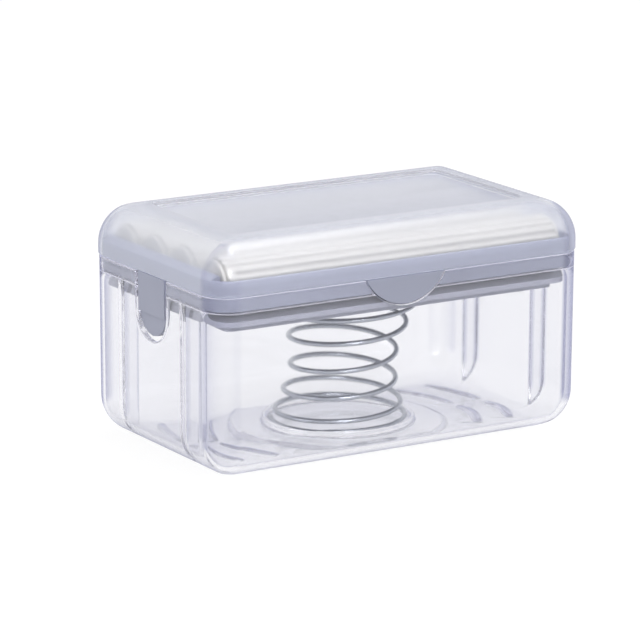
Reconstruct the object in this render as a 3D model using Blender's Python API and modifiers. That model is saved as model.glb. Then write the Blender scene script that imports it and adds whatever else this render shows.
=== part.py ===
"""A draining soap box with foaming rollers, in metres with +Z up.

A clear tub stands on the ground with a spring on its floor. The spring lifts a soap plate
towards four ribbed rollers, which turn in a grey frame that drops into the tub's rim. A clear
lid covers the rollers. X runs along the box, the front faces -Y, and the origin is the middle
of the base.
"""
import math

import bmesh
import bpy
import numpy as np

MM = 0.001
QUARTER_TURN = math.pi / 2
FULL_TURN = math.pi * 2

# Whole box
BOX_LENGTH = 122 * MM
BOX_WIDTH = 72 * MM
BOX_HEIGHT = 67 * MM
LID_HEIGHT = 14.6 * MM
CORNER_RADIUS = 8.75 * MM
SHARPEST_CORNER = 1.0 * MM

# Clearances and working lengths
SEAT_GAP = 0.3 * MM
SLIDE_GAP = 0.4 * MM
OVERRUN = 2.0 * MM
WELD_DISTANCE = 0.01 * MM

# Tub
TUB_STEP_IN = 0.3 * MM
TUB_DRAFT = 0.2 * MM
TUB_WALL = 1.8 * MM
RIM_WALL = 0.8 * MM
TUB_EDGE_RADIUS = 11.5 * MM
FRONT_NOTCH_HALF_CHORD = 13.0 * MM
FRONT_NOTCH_DEPTH = 8.1 * MM
END_NOTCH_RADIUS = 8.65 * MM
END_NOTCH_DEPTH = 18.6 * MM
FIN_SIDE_ROOM = 16.5 * MM
FIN_DEPTH = 4.6 * MM
FIN_THICKNESS = 1.8 * MM
SINK_WIDTH = 1.4 * MM
SINK_DEPTH = 0.35 * MM

# Tub floor
FLOOR_DISC_END_ROOM = 17.0 * MM
FLOOR_DISC_RISE = 0.8 * MM
DISC_SIDE_SHARE = 0.85
SEAT_RING_HEIGHT = 2.2 * MM
SEAT_RING_WALL = 1.2 * MM
FLOOR_BEAD_WIDTH = 3.2 * MM
FLOOR_BEAD_RISE = 0.7 * MM
FLOOR_BEAD_OFFSETS = (-9.0 * MM, 0.6 * MM)
FLOOR_BEAD_NEAR_END = 3.2 * MM
FLOOR_BEAD_SIDE_ROOM = 3.5 * MM

# Lid
LID_WALL = 1.1 * MM
LID_EDGE_RADIUS = 11.7 * MM
PANEL_BORDER = 1.5 * MM
PANEL_DEPTH = 1.6 * MM

# Roller frame
BAND_DROP = 4.4 * MM
BAND_RISE = 2.0 * MM
BAND_LIP_RISE = 2.1 * MM
BAND_LIP_REACH = 0.9 * MM
BAND_WALL = 1.5 * MM
FLAP_GAP = 0.35 * MM
FLAP_THICKNESS = 2.2 * MM
FLUSH_STEP = 0.15 * MM
TONGUE_SIDE_GAP = 1.45 * MM
TONGUE_TIP_GAP = 1.4 * MM
TONGUE_THICKNESS = 2.4 * MM
TONGUE_PAD_THICKNESS = 0.6 * MM
TONGUE_PAD_LENGTH = 11.1 * MM
BLOCK_DEPTH = 4.3 * MM
BLOCK_RISE = 0.8 * MM
BLOCK_SLOPE = 0.9 * MM
BLOCK_END_MARGIN = 5.6 * MM
BEARING_THROAT_SHARE = 0.8

# Rollers
ROLLER_GAP = 1.0 * MM
ROLLER_SIDE_GAP = 1.6 * MM
ROLLER_AXIS_RISE = 1.6 * MM
ROLLER_WALL = 1.7 * MM
RIDGE_DEPTH = 0.55 * MM
PLUG_STEP = 1.0 * MM
PLUG_FLANGE_THICKNESS = 1.0 * MM
PLUG_INSERT_LENGTH = 6.0 * MM
STUB_RADIUS = 1.5 * MM
STUB_LENGTH = 3.0 * MM

# Soap plate
PLATE_THICKNESS = 1.5 * MM
PLATE_SIDE_GAP = 0.8 * MM
PLATE_END_GAP = 1.7 * MM
PLATE_CORNER_RADIUS = 5.0 * MM
SKIRT_INSET = 3.6 * MM
SKIRT_DEPTH = 1.95 * MM
SKIRT_WALL = 1.2 * MM
RIB_HEIGHT = 1.3 * MM
RIB_WIDTH = 1.5 * MM
RIB_END_ROOM = 6.1 * MM
RIB_SIDE_ROOM = 9.0 * MM
SLOT_WIDTH = 3.4 * MM
SLOT_SIDE_ROOM = 8.0 * MM
SLOT_BRIDGE = 6.0 * MM
COLLAR_SIDE_ROOM = 3.4 * MM
COLLAR_GAP = 0.6 * MM
COLLAR_WALL = 1.2 * MM

# Spring
WIRE_RADIUS = 0.75 * MM
SPRING_WAIST_SHARE = 0.767
SPRING_WAIST_RISE_SHARE = 0.445
FOOT_FLARE_POWER = 1.7
SPRING_HEAD_SHIFT = 2.8 * MM
SPRING_LEAN_ANGLE = math.radians(-31.7)
SPRING_TILT_ANGLE = math.radians(2.6)
SPRING_START_TURN = -0.5
SPRING_END_TURN = 6.1
FOOT_PITCH_SHARE = 0.28
HEAD_PITCH_SHARE = 0.28
FOOT_RAMP_TURNS = 1.73
HEAD_RAMP_TURNS = 3.31
PITCH_GROWTH_SHARE = 1.49

# Counts
CORNER_STEPS = 6
EDGE_STEPS = 7
LIP_STEPS = 3
ARC_STEPS = 8
CAP_STEPS = 4
ROUND_SIDES = 32
BORE_SIDES = 20
ROLLER_COUNT = 4
RIDGE_COUNT = 20
RIB_COUNT = 10
CURL_POINTS = 10
PITCH_SAMPLES = 600

# Box and tub sizes that follow from those above
HALF_LENGTH = BOX_LENGTH / 2
HALF_WIDTH = BOX_WIDTH / 2
SEAM_HEIGHT = BOX_HEIGHT - LID_HEIGHT
TUB_RIM = SEAM_HEIGHT - SEAT_GAP
TUB_HALF_LENGTH = HALF_LENGTH - TUB_STEP_IN
TUB_HALF_WIDTH = HALF_WIDTH - TUB_STEP_IN
TUB_CORNER_RADIUS = CORNER_RADIUS - TUB_STEP_IN
TUB_INNER_LENGTH = TUB_HALF_LENGTH - TUB_DRAFT - TUB_WALL
TUB_INNER_WIDTH = TUB_HALF_WIDTH - TUB_DRAFT - TUB_WALL
NOTCH_RADIUS = (FRONT_NOTCH_HALF_CHORD ** 2 + FRONT_NOTCH_DEPTH ** 2) / (FRONT_NOTCH_DEPTH * 2)
NOTCH_CENTRE = TUB_RIM - FRONT_NOTCH_DEPTH + NOTCH_RADIUS
END_NOTCH_CENTRE = TUB_RIM - END_NOTCH_DEPTH + END_NOTCH_RADIUS
FLOOR_TOP = TUB_WALL
FLOOR_HALF_LENGTH = TUB_HALF_LENGTH - TUB_DRAFT - TUB_EDGE_RADIUS
FLOOR_HALF_WIDTH = TUB_HALF_WIDTH - TUB_DRAFT - TUB_EDGE_RADIUS
FLOOR_DISC_RADIUS = FLOOR_HALF_LENGTH - FLOOR_DISC_END_ROOM
DISC_TOP = FLOOR_TOP + FLOOR_DISC_RISE

# Frame and roller sizes
BAND_BOTTOM = SEAM_HEIGHT - BAND_DROP
BAND_SHOULDER = SEAM_HEIGHT + BAND_RISE
BAND_TOP = BAND_SHOULDER + BAND_LIP_RISE
BAND_HALF_LENGTH = TUB_HALF_LENGTH - RIM_WALL - SEAT_GAP
BAND_HALF_WIDTH = TUB_HALF_WIDTH - RIM_WALL - SEAT_GAP
BAND_CORNER_RADIUS = TUB_CORNER_RADIUS - RIM_WALL - SEAT_GAP
FIN_SPREAD = TUB_INNER_WIDTH - FIN_SIDE_ROOM
FIN_CREST = TUB_INNER_LENGTH - FIN_DEPTH
LEDGE_HEIGHT = BAND_BOTTOM - SEAT_GAP
BLOCK_FACE = BAND_HALF_LENGTH - BLOCK_DEPTH
FLANGE_FACE = BLOCK_FACE - SLIDE_GAP
ROLLER_HALF_LENGTH = FLANGE_FACE - PLUG_FLANGE_THICKNESS - SEAT_GAP
ROLLER_ROW_HALF_WIDTH = BAND_HALF_WIDTH - BAND_WALL - ROLLER_SIDE_GAP
ROLLER_PITCH = (ROLLER_ROW_HALF_WIDTH * 2 + ROLLER_GAP) / ROLLER_COUNT
ROLLER_RADIUS = (ROLLER_PITCH - ROLLER_GAP) / 2
ROLLER_BORE_RADIUS = ROLLER_RADIUS - ROLLER_WALL
ROLLER_AXIS_HEIGHT = SEAM_HEIGHT + ROLLER_AXIS_RISE
PLUG_FLANGE_RADIUS = ROLLER_RADIUS - PLUG_STEP
STUB_TIP = FLANGE_FACE + STUB_LENGTH
BEARING_RADIUS = STUB_RADIUS + SEAT_GAP

# Plate and spring sizes
RIB_TOP = ROLLER_AXIS_HEIGHT - ROLLER_RADIUS - SEAT_GAP
PLATE_TOP = RIB_TOP - RIB_HEIGHT
PLATE_BOTTOM = PLATE_TOP - PLATE_THICKNESS
PLATE_HALF_LENGTH = TUB_INNER_LENGTH - PLATE_END_GAP
PLATE_HALF_WIDTH = TUB_INNER_WIDTH - PLATE_SIDE_GAP
RIB_PITCH = (PLATE_HALF_LENGTH - RIB_END_ROOM) * 2 / (RIB_COUNT - 1)
SLOT_COUNT = RIB_COUNT - 1
SLOT_LENGTH = PLATE_HALF_WIDTH - SLOT_SIDE_ROOM - SLOT_BRIDGE / 2
COLLAR_RADIUS = PLATE_HALF_WIDTH - SKIRT_INSET - SKIRT_WALL - COLLAR_SIDE_ROOM - COLLAR_WALL
SPRING_FOOT_RADIUS = COLLAR_RADIUS - COLLAR_GAP - WIRE_RADIUS - SPRING_HEAD_SHIFT
SPRING_WAIST_RADIUS = SPRING_FOOT_RADIUS * SPRING_WAIST_SHARE
SPRING_FOOT = DISC_TOP + SEAT_GAP + WIRE_RADIUS
SPRING_HEAD = PLATE_BOTTOM - SEAT_GAP - WIRE_RADIUS
SPRING_WAIST_HEIGHT = SPRING_FOOT + (SPRING_HEAD - SPRING_FOOT) * SPRING_WAIST_RISE_SHARE
SEAT_RING_RADIUS = SPRING_FOOT_RADIUS + WIRE_RADIUS + COLLAR_GAP

# Rotations that stand a flat outline up
FACING_FRONT = (QUARTER_TURN, 0, 0)
FACING_END = (QUARTER_TURN, 0, QUARTER_TURN)


def fresh_scene():
    """Empty the file and return the collections for parts and for cutters."""
    for old in list(bpy.data.objects):
        bpy.data.objects.remove(old)
    parts = bpy.data.collections.new("draining_soap_box")
    cutters = bpy.data.collections.new("cutters")
    bpy.context.scene.collection.children.link(parts)
    bpy.context.scene.collection.children.link(cutters)
    return parts, cutters


PARTS, CUTTERS = fresh_scene()


def plastic(name, colour, roughness, alpha=1.0, metallic=0.0):
    """A Principled material for one piece."""
    material = bpy.data.materials.new(name)
    material.use_nodes = True
    shader = material.node_tree.nodes["Principled BSDF"]
    shader.inputs["Base Color"].default_value = (*colour, 1.0)
    shader.inputs["Roughness"].default_value = roughness
    shader.inputs["Metallic"].default_value = metallic
    shader.inputs["Alpha"].default_value = alpha
    return material


def add_part(name, data, material=None, location=(0, 0, 0), rotation=(0, 0, 0), parent=None):
    """Link a piece into the parts, or into the cutters where it has no material."""
    piece = bpy.data.objects.new(name, data)
    piece.location = location
    piece.rotation_euler = rotation
    piece.parent = parent
    if material is None:
        CUTTERS.objects.link(piece)
        piece.hide_render = True
        piece.display_type = "WIRE"
    else:
        PARTS.objects.link(piece)
        data.materials.append(material)
    return piece


def apply_boolean(piece, tool, operation):
    """Cut a tool out of a piece, or join it on."""
    boolean = piece.modifiers.new(tool.name, "BOOLEAN")
    boolean.operation = operation
    boolean.solver = "EXACT"
    boolean.object = tool


def cut(piece, tool):
    """Cut a tool out of a piece."""
    apply_boolean(piece, tool, "DIFFERENCE")


def join(piece, tool):
    """Join a tool on to a piece."""
    apply_boolean(piece, tool, "UNION")


def mesh_from(bm, name):
    """Turn a bmesh into a mesh with its faces pointing out and flat areas left flat."""
    bmesh.ops.recalc_face_normals(bm, faces=bm.faces)
    mesh = bpy.data.meshes.new(name)
    bm.to_mesh(mesh)
    bm.free()
    mesh.shade_smooth()
    mesh.set_sharp_from_angle(angle=QUARTER_TURN / 3)
    return mesh


# Outlines


def circle_arc(centre, radius, start, end, steps):
    """Points along an arc, both ends included."""
    angles = np.linspace(start, end, steps + 1)
    return [(centre[0] + radius * math.cos(a), centre[1] + radius * math.sin(a)) for a in angles]


def rounded_rectangle(half_length, half_width, radius, steps):
    """A rectangle with round corners, counterclockwise."""
    points = []
    for corner, (side_x, side_y) in enumerate(((1, 1), (-1, 1), (-1, -1), (1, -1))):
        centre = (side_x * (half_length - radius), side_y * (half_width - radius))
        start = QUARTER_TURN * corner
        points += circle_arc(centre, radius, start, start + QUARTER_TURN, steps)
    return points


def rectangle(low, high):
    """A plain rectangle between two opposite corners."""
    return [low, (high[0], low[1]), high, (low[0], high[1])]


def tongue_outline(half_width, tip_centre, top):
    """A strip that ends in a half circle at the bottom."""
    tip = circle_arc((0, tip_centre), half_width, -math.pi, 0, ARC_STEPS)
    return tip + [(half_width, top), (-half_width, top)]


def round_ended_slot(half_width, half_length):
    """A straight slot with half circles at its ends, long across."""
    reach = half_length - half_width
    far_end = circle_arc((0, reach), half_width, 0, math.pi, CAP_STEPS)
    near_end = circle_arc((0, -reach), half_width, math.pi, FULL_TURN, CAP_STEPS)
    return far_end + near_end


def bent_bead(radius, width, near, far):
    """A bead of even width along a circle about the origin, with round ends."""
    start = math.asin(near / radius)
    end = math.asin(far / radius)
    tip = width / 2
    outer = circle_arc((0, 0), radius + tip, start, end, ARC_STEPS)
    inner = circle_arc((0, 0), radius - tip, end, start, ARC_STEPS)
    far_centre = (radius * math.cos(end), radius * math.sin(end))
    near_centre = (radius * math.cos(start), radius * math.sin(start))
    far_cap = circle_arc(far_centre, tip, end, end + math.pi, CAP_STEPS)[1:-1]
    near_cap = circle_arc(near_centre, tip, start - math.pi, start, CAP_STEPS)[1:-1]
    return outer + far_cap + inner + near_cap


def ridged_circle(radius, depth, count):
    """A circle with square ridges: two points on each crest and two in each valley."""
    points = []
    for step in range(count * 4):
        angle = FULL_TURN * (step + 0.5) / (count * 4)
        reach = radius if step % 4 < 2 else radius - depth
        points.append((reach * math.cos(angle), reach * math.sin(angle)))
    return points


# Solids


def extruded(name, outlines, thickness):
    """A flat outline, with its holes, given a thickness along its own Z."""
    curve = bpy.data.curves.new(name, "CURVE")
    curve.dimensions = "2D"
    curve.fill_mode = "BOTH"
    curve.extrude = thickness / 2
    for outline in outlines:
        spline = curve.splines.new("POLY")
        spline.points.add(len(outline) - 1)
        for point, (across, along) in zip(spline.points, outline):
            point.co = (across, along, 0, 1)
        spline.use_cyclic_u = True
    guide = bpy.data.objects.new(name + "_outline", curve)
    CUTTERS.objects.link(guide)
    evaluated = guide.evaluated_get(bpy.context.evaluated_depsgraph_get())
    mesh = bpy.data.meshes.new_from_object(evaluated)
    bpy.data.objects.remove(guide)
    bm = bmesh.new()
    bm.from_mesh(mesh)
    bmesh.ops.remove_doubles(bm, verts=bm.verts, dist=WELD_DISTANCE)
    return mesh_from(bm, name)


def block(name, outline, rotation, location, thickness):
    """An extruded outline set in place as a tool."""
    return add_part(name, extruded(name, [outline], thickness), location=location, rotation=rotation)


def upright(name, outlines, bottom, top):
    """Outlines in plan, drawn up from one height to another, as a tool."""
    mesh = extruded(name, outlines, top - bottom)
    return add_part(name, mesh, location=(0, 0, (top + bottom) / 2))


def cylinder(name, radius, length, sides):
    """A plain cylinder along its own Z."""
    bm = bmesh.new()
    bmesh.ops.create_cone(
        bm, cap_ends=True, segments=sides, radius1=radius, radius2=radius, depth=length
    )
    return mesh_from(bm, name)


def skin(name, half_length, half_width, radius, profile, close_end):
    """An open skin through rounded rectangles, one for each inset and height of a profile."""
    bm = bmesh.new()
    rings = []
    for inset, height in profile:
        corner = max(radius - inset, SHARPEST_CORNER)
        outline = rounded_rectangle(half_length - inset, half_width - inset, corner, CORNER_STEPS)
        rings.append([bm.verts.new((x, y, height)) for x, y in outline])
    for lower, upper in zip(rings, rings[1:]):
        for index, vertex in enumerate(lower):
            bm.faces.new((lower[index - 1], vertex, upper[index], upper[index - 1]))
    if close_end:
        bm.faces.new(rings[-1])
    return mesh_from(bm, name)


def thicken(piece, wall):
    """Give an open skin its wall on the inner side."""
    solidify = piece.modifiers.new("wall", "SOLIDIFY")
    solidify.thickness = wall
    solidify.offset = -1
    solidify.use_even_offset = True


def turned(name, profile, sides, material=None, location=(0, 0, 0)):
    """A closed profile of (radius, height) turned about its own Z."""
    bm = bmesh.new()
    corners = [bm.verts.new((radius, 0, height)) for radius, height in profile]
    for index, vertex in enumerate(corners):
        bm.edges.new((corners[index - 1], vertex))
    mesh = bpy.data.meshes.new(name)
    bm.to_mesh(mesh)
    bm.free()
    piece = add_part(name, mesh, material, location)
    screw = piece.modifiers.new("turn", "SCREW")
    screw.steps = sides
    screw.render_steps = sides
    screw.use_merge_vertices = True
    screw.merge_threshold = WELD_DISTANCE
    return piece


# Tub


def tub_inset(height):
    """How far the tub's outer side stands in from its rim, from its draft and round edge."""
    draft = TUB_DRAFT * min((TUB_RIM - height) / (TUB_RIM - TUB_EDGE_RADIUS), 1)
    below = max(TUB_EDGE_RADIUS - height, 0)
    return draft + TUB_EDGE_RADIUS - math.sqrt(TUB_EDGE_RADIUS ** 2 - below ** 2)


def tub_profile():
    """Insets and heights of the tub's outside, from its rim to its base."""
    angles = [QUARTER_TURN * step / EDGE_STEPS for step in range(EDGE_STEPS + 1)]
    heights = [TUB_EDGE_RADIUS * (1 - math.sin(angle)) for angle in angles]
    return [(0, TUB_RIM)] + [(tub_inset(height), height) for height in heights]


def end_wall_line(sunk, lowest_reach, top):
    """Points down the outer side of the end wall, sunk into it, to where it reaches inwards."""
    side = TUB_HALF_LENGTH - TUB_DRAFT
    centre = (side - TUB_EDGE_RADIUS, TUB_EDGE_RADIUS)
    radius = TUB_EDGE_RADIUS - sunk
    last = math.acos((lowest_reach - centre[0]) / radius)
    return [(side - sunk, top)] + circle_arc(centre, radius, 0, -last, ARC_STEPS)


def fin_outline():
    """A fin inside the end wall: its crest is upright, and its root follows the wall down."""
    top = LEDGE_HEIGHT + OVERRUN
    root = end_wall_line(TUB_WALL / 2, FIN_CREST, top)
    return root + [(FIN_CREST, top)]


def sink_outline():
    """The shallow sink line outside, behind a fin, and the room a cutter needs beyond it."""
    inner = end_wall_line(SINK_DEPTH, FIN_CREST, LEDGE_HEIGHT)
    outer = end_wall_line(-OVERRUN, FIN_CREST, LEDGE_HEIGHT)
    return inner + outer[::-1]


def mirrored(outline):
    """The outline at the other end of the box."""
    return [(-across, along) for across, along in outline]


def add_end_details(tub):
    """Fins inside each end wall, with the sink lines that they leave outside."""
    for end_name, turn in (("right", list), ("left", mirrored)):
        for side_name, side in (("front", -FIN_SPREAD), ("back", FIN_SPREAD)):
            label = f"{end_name}_{side_name}"
            place = (0, side, 0)
            fin = block("fin_" + label, turn(fin_outline()), FACING_FRONT, place, FIN_THICKNESS)
            sink = block("sink_" + label, turn(sink_outline()), FACING_FRONT, place, SINK_WIDTH)
            join(tub, fin)
            cut(tub, sink)


def floor_disc_outline():
    """The raised disc in plan, cut straight where the round edges of the floor begin to climb."""
    inner_radius = TUB_EDGE_RADIUS - TUB_WALL
    climb = math.sqrt(inner_radius ** 2 - (inner_radius - FLOOR_DISC_RISE) ** 2)
    half_width = FLOOR_HALF_WIDTH + climb * DISC_SIDE_SHARE
    reach = min(math.asin(min(half_width / FLOOR_DISC_RADIUS, 1)), QUARTER_TURN)
    right = circle_arc((0, 0), FLOOR_DISC_RADIUS, -reach, reach, ROUND_SIDES // 2)
    left = circle_arc((0, 0), FLOOR_DISC_RADIUS, math.pi - reach, math.pi + reach, ROUND_SIDES // 2)
    return right + left


def add_floor_details(tub):
    """The raised disc, the spring's seat ring and the bent beads on the floor."""
    embedded = FLOOR_TOP / 2
    join(tub, upright("floor_disc", [floor_disc_outline()], embedded, DISC_TOP))
    inner = SEAT_RING_RADIUS
    outer = SEAT_RING_RADIUS + SEAT_RING_WALL
    top = DISC_TOP + SEAT_RING_HEIGHT
    middle = FLOOR_TOP + FLOOR_DISC_RISE / 2
    profile = [(outer, top), (outer, middle), (inner, middle), (inner, top)]
    join(tub, turned("seat_ring", profile, ROUND_SIDES))
    far_end = FLOOR_HALF_WIDTH - FLOOR_BEAD_SIDE_ROOM
    for row, offset in enumerate(FLOOR_BEAD_OFFSETS, 1):
        bead = bent_bead(FLOOR_HALF_LENGTH + offset, FLOOR_BEAD_WIDTH, FLOOR_BEAD_NEAR_END, far_end)
        flipped = [(across, -along) for across, along in bead]
        outlines = [bead, flipped, mirrored(bead), mirrored(flipped)]
        beads = upright(f"floor_beads_{row}", outlines, embedded, FLOOR_TOP + FLOOR_BEAD_RISE)
        join(tub, beads)


def cut_rim_ledge(tub):
    """The thin rim above a ledge, which carries the roller frame and trims the fins."""
    half_length = TUB_HALF_LENGTH - RIM_WALL
    half_width = TUB_HALF_WIDTH - RIM_WALL
    inner = rounded_rectangle(half_length, half_width, TUB_CORNER_RADIUS - RIM_WALL, CORNER_STEPS)
    cut(tub, upright("rim_ledge", [inner], LEDGE_HEIGHT, TUB_RIM + OVERRUN))


def cut_notches(tub):
    """The round notch in the front wall, and a deep one through both end walls."""
    notch = cylinder("front_notch", NOTCH_RADIUS, TUB_WALL + OVERRUN * 2, ROUND_SIDES * 2)
    place = (0, TUB_WALL / 2 - TUB_HALF_WIDTH, NOTCH_CENTRE)
    cut(tub, add_part("front_notch", notch, location=place, rotation=FACING_FRONT))
    outline = tongue_outline(END_NOTCH_RADIUS, END_NOTCH_CENTRE, TUB_RIM + OVERRUN)
    reach = (TUB_HALF_LENGTH + OVERRUN) * 2
    cut(tub, block("end_notches", outline, FACING_END, (0, 0, 0), reach))


def make_tub():
    """The clear tub: a thickened skin with its floor details, fins, rim ledge and notches."""
    material = plastic("clear_tub", (0.84, 0.85, 0.93), 0.06, alpha=0.3)
    mesh = skin("tub", TUB_HALF_LENGTH, TUB_HALF_WIDTH, TUB_CORNER_RADIUS, tub_profile(), True)
    tub = add_part("tub", mesh, material)
    thicken(tub, TUB_WALL)
    add_floor_details(tub)
    add_end_details(tub)
    cut_rim_ledge(tub)
    cut_notches(tub)
    return tub


# Lid


def lid_profile():
    """Insets and heights of the lid's outside, from its rim over the edge into the panel."""
    centre = (LID_EDGE_RADIUS, BOX_HEIGHT - LID_EDGE_RADIUS)
    edge = circle_arc(centre, LID_EDGE_RADIUS, math.pi, QUARTER_TURN, EDGE_STEPS)
    border = LID_EDGE_RADIUS + PANEL_BORDER
    return [(0, SEAM_HEIGHT), *edge, (border, BOX_HEIGHT), (border, BOX_HEIGHT - PANEL_DEPTH)]


def make_lid(frame):
    """The clear lid, which lies on the tub's rim and lifts off with the frame or without it."""
    material = plastic("clear_lid", (0.84, 0.85, 0.93), 0.06, alpha=0.3)
    mesh = skin("lid", HALF_LENGTH, HALF_WIDTH, CORNER_RADIUS, lid_profile(), True)
    lid = add_part("lid", mesh, material, parent=frame)
    thicken(lid, LID_WALL)
    return lid


# Roller frame


def roller_places():
    """The rollers' axes across the box, from front to back."""
    return [ROLLER_PITCH * (index - (ROLLER_COUNT - 1) / 2) for index in range(ROLLER_COUNT)]


def band_profile():
    """Insets and heights of the band's outside, from its foot over its turned-in lip."""
    angles = [QUARTER_TURN * step / LIP_STEPS for step in range(1, LIP_STEPS + 1)]
    lip = [
        (BAND_LIP_REACH * (1 - math.cos(a)), BAND_SHOULDER + BAND_LIP_RISE * math.sin(a))
        for a in angles
    ]
    return [(0, BAND_BOTTOM), (0, BAND_SHOULDER), *lip]


def block_outline():
    """The end block that carries the bearings: upright inside, sloping down outwards."""
    back = BAND_HALF_LENGTH - BAND_WALL / 2
    lip_edge = BAND_HALF_LENGTH - BAND_LIP_REACH
    return [
        (BLOCK_FACE, BAND_BOTTOM),
        (back, BAND_BOTTOM),
        (back, BAND_SHOULDER),
        (lip_edge, BAND_TOP - BLOCK_SLOPE / 2),
        (BLOCK_FACE + BLOCK_SLOPE / 2, BAND_TOP + BLOCK_RISE),
        (BLOCK_FACE, BAND_TOP + BLOCK_RISE / 2),
    ]


def add_end_blocks(frame):
    """A block inside each end of the band, with a blind snap-in bearing for every roller."""
    width = (BAND_HALF_WIDTH - BLOCK_END_MARGIN) * 2
    for end_name, turn in (("right", list), ("left", mirrored)):
        join(frame, block("block_" + end_name, turn(block_outline()), FACING_FRONT, (0, 0, 0), width))
    reach = (STUB_TIP + SEAT_GAP) * 2
    throat = BEARING_RADIUS * BEARING_THROAT_SHARE
    for index, place in enumerate(roller_places(), 1):
        hole = cylinder(f"bearing_{index}", BEARING_RADIUS, reach, BORE_SIDES)
        centre = (0, place, ROLLER_AXIS_HEIGHT)
        cut(frame, add_part(f"bearing_{index}", hole, location=centre, rotation=FACING_END))
        slit = rectangle((-throat, BAND_BOTTOM - OVERRUN), (throat, ROLLER_AXIS_HEIGHT))
        cut(frame, block(f"throat_{index}", slit, FACING_END, (0, place, 0), reach))


def add_flap(frame):
    """The round flap that fills the tub's front notch."""
    radius = NOTCH_RADIUS - FLAP_GAP
    rise = NOTCH_CENTRE - TUB_RIM
    half_angle = math.acos(rise / radius)
    outline = circle_arc(
        (0, NOTCH_CENTRE), radius, -QUARTER_TURN - half_angle, half_angle - QUARTER_TURN, ROUND_SIDES
    )
    middle = FLUSH_STEP + FLAP_THICKNESS / 2 - TUB_HALF_WIDTH
    join(frame, block("flap", outline, FACING_FRONT, (0, middle, 0), FLAP_THICKNESS))


def add_tongues(frame):
    """A tongue down each end notch, with a raised pad that is flush with the tub."""
    half_width = END_NOTCH_RADIUS - TONGUE_SIDE_GAP
    tip_centre = END_NOTCH_CENTRE - END_NOTCH_RADIUS + TONGUE_TIP_GAP + half_width
    tongue = tongue_outline(half_width, tip_centre, TUB_RIM)
    pad = rectangle((-half_width, TUB_RIM - TONGUE_PAD_LENGTH), (half_width, TUB_RIM))
    pad_face = TUB_HALF_LENGTH - FLUSH_STEP
    tongue_face = pad_face - TONGUE_PAD_THICKNESS
    for end_name, side in (("right", 1), ("left", -1)):
        tongue_place = (side * (tongue_face - TONGUE_THICKNESS / 2), 0, 0)
        pad_place = (side * (pad_face - TONGUE_PAD_THICKNESS), 0, 0)
        join(frame, block("tongue_" + end_name, tongue, FACING_END, tongue_place, TONGUE_THICKNESS))
        join(frame, block("pad_" + end_name, pad, FACING_END, pad_place, TONGUE_PAD_THICKNESS * 2))


def make_frame(tub):
    """The grey frame: a band on the rim's ledge, with its flap, tongues and bearing blocks."""
    material = plastic("frame_grey", (0.33, 0.36, 0.46), 0.35)
    mesh = skin(
        "roller_frame", BAND_HALF_LENGTH, BAND_HALF_WIDTH, BAND_CORNER_RADIUS, band_profile(), False
    )
    frame = add_part("roller_frame", mesh, material, parent=tub)
    thicken(frame, BAND_WALL)
    add_flap(frame)
    add_tongues(frame)
    add_end_blocks(frame)
    return frame


# Rollers


def make_roller(index, place, frame, material):
    """One ridged tube with a plug and stub axle in each end, turning about its own axis."""
    name = f"roller_{index}"
    axis = bpy.data.objects.new(name + "_axis", None)
    axis.location = (0, place, ROLLER_AXIS_HEIGHT)
    axis.parent = frame
    PARTS.objects.link(axis)
    bore = circle_arc((0, 0), ROLLER_BORE_RADIUS, 0, FULL_TURN, BORE_SIDES)[:-1]
    outline = ridged_circle(ROLLER_RADIUS, RIDGE_DEPTH, RIDGE_COUNT)
    tube = extruded(name, [outline, bore], ROLLER_HALF_LENGTH * 2)
    add_part(name, tube, material, rotation=FACING_END, parent=axis)
    for end_name, side in (("right", 1), ("left", -1)):
        plug = turned(f"{name}_plug_{end_name}", plug_profile(), BORE_SIDES, material)
        plug.parent = axis
        plug.rotation_euler = (0, side * QUARTER_TURN, 0)


def plug_profile():
    """Radii and distances from the roller's middle, from the stub axle's tip inwards."""
    insert_radius = ROLLER_BORE_RADIUS - SEAT_GAP
    flange_back = FLANGE_FACE - PLUG_FLANGE_THICKNESS
    insert_end = flange_back - PLUG_INSERT_LENGTH
    return [
        (0, STUB_TIP),
        (STUB_RADIUS, STUB_TIP),
        (STUB_RADIUS, FLANGE_FACE),
        (PLUG_FLANGE_RADIUS, FLANGE_FACE),
        (PLUG_FLANGE_RADIUS, flange_back),
        (insert_radius, flange_back),
        (insert_radius, insert_end),
        (0, insert_end),
    ]


def make_rollers(frame):
    """The row of rollers, each free to turn by itself."""
    material = plastic("roller_ivory", (0.80, 0.78, 0.72), 0.45)
    for index, place in enumerate(roller_places(), 1):
        make_roller(index, place, frame, material)


# Soap plate


def slot_outlines():
    """Two rows of drain slots between the ribs."""
    outlines = []
    for row in (-1, 1):
        middle = row * (SLOT_BRIDGE + SLOT_LENGTH) / 2
        for index in range(SLOT_COUNT):
            across = RIB_PITCH * (index - (SLOT_COUNT - 1) / 2)
            slot = round_ended_slot(SLOT_WIDTH / 2, SLOT_LENGTH / 2)
            outlines.append([(across + x, middle + y) for x, y in slot])
    return outlines


def rib_outlines():
    """Ribs across the plate, between and beside the slots."""
    reach = PLATE_HALF_WIDTH - RIB_SIDE_ROOM
    outlines = []
    for index in range(RIB_COUNT):
        across = RIB_PITCH * (index - (RIB_COUNT - 1) / 2)
        low = (across - RIB_WIDTH / 2, -reach)
        high = (across + RIB_WIDTH / 2, reach)
        outlines.append(rectangle(low, high))
    return outlines


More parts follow.
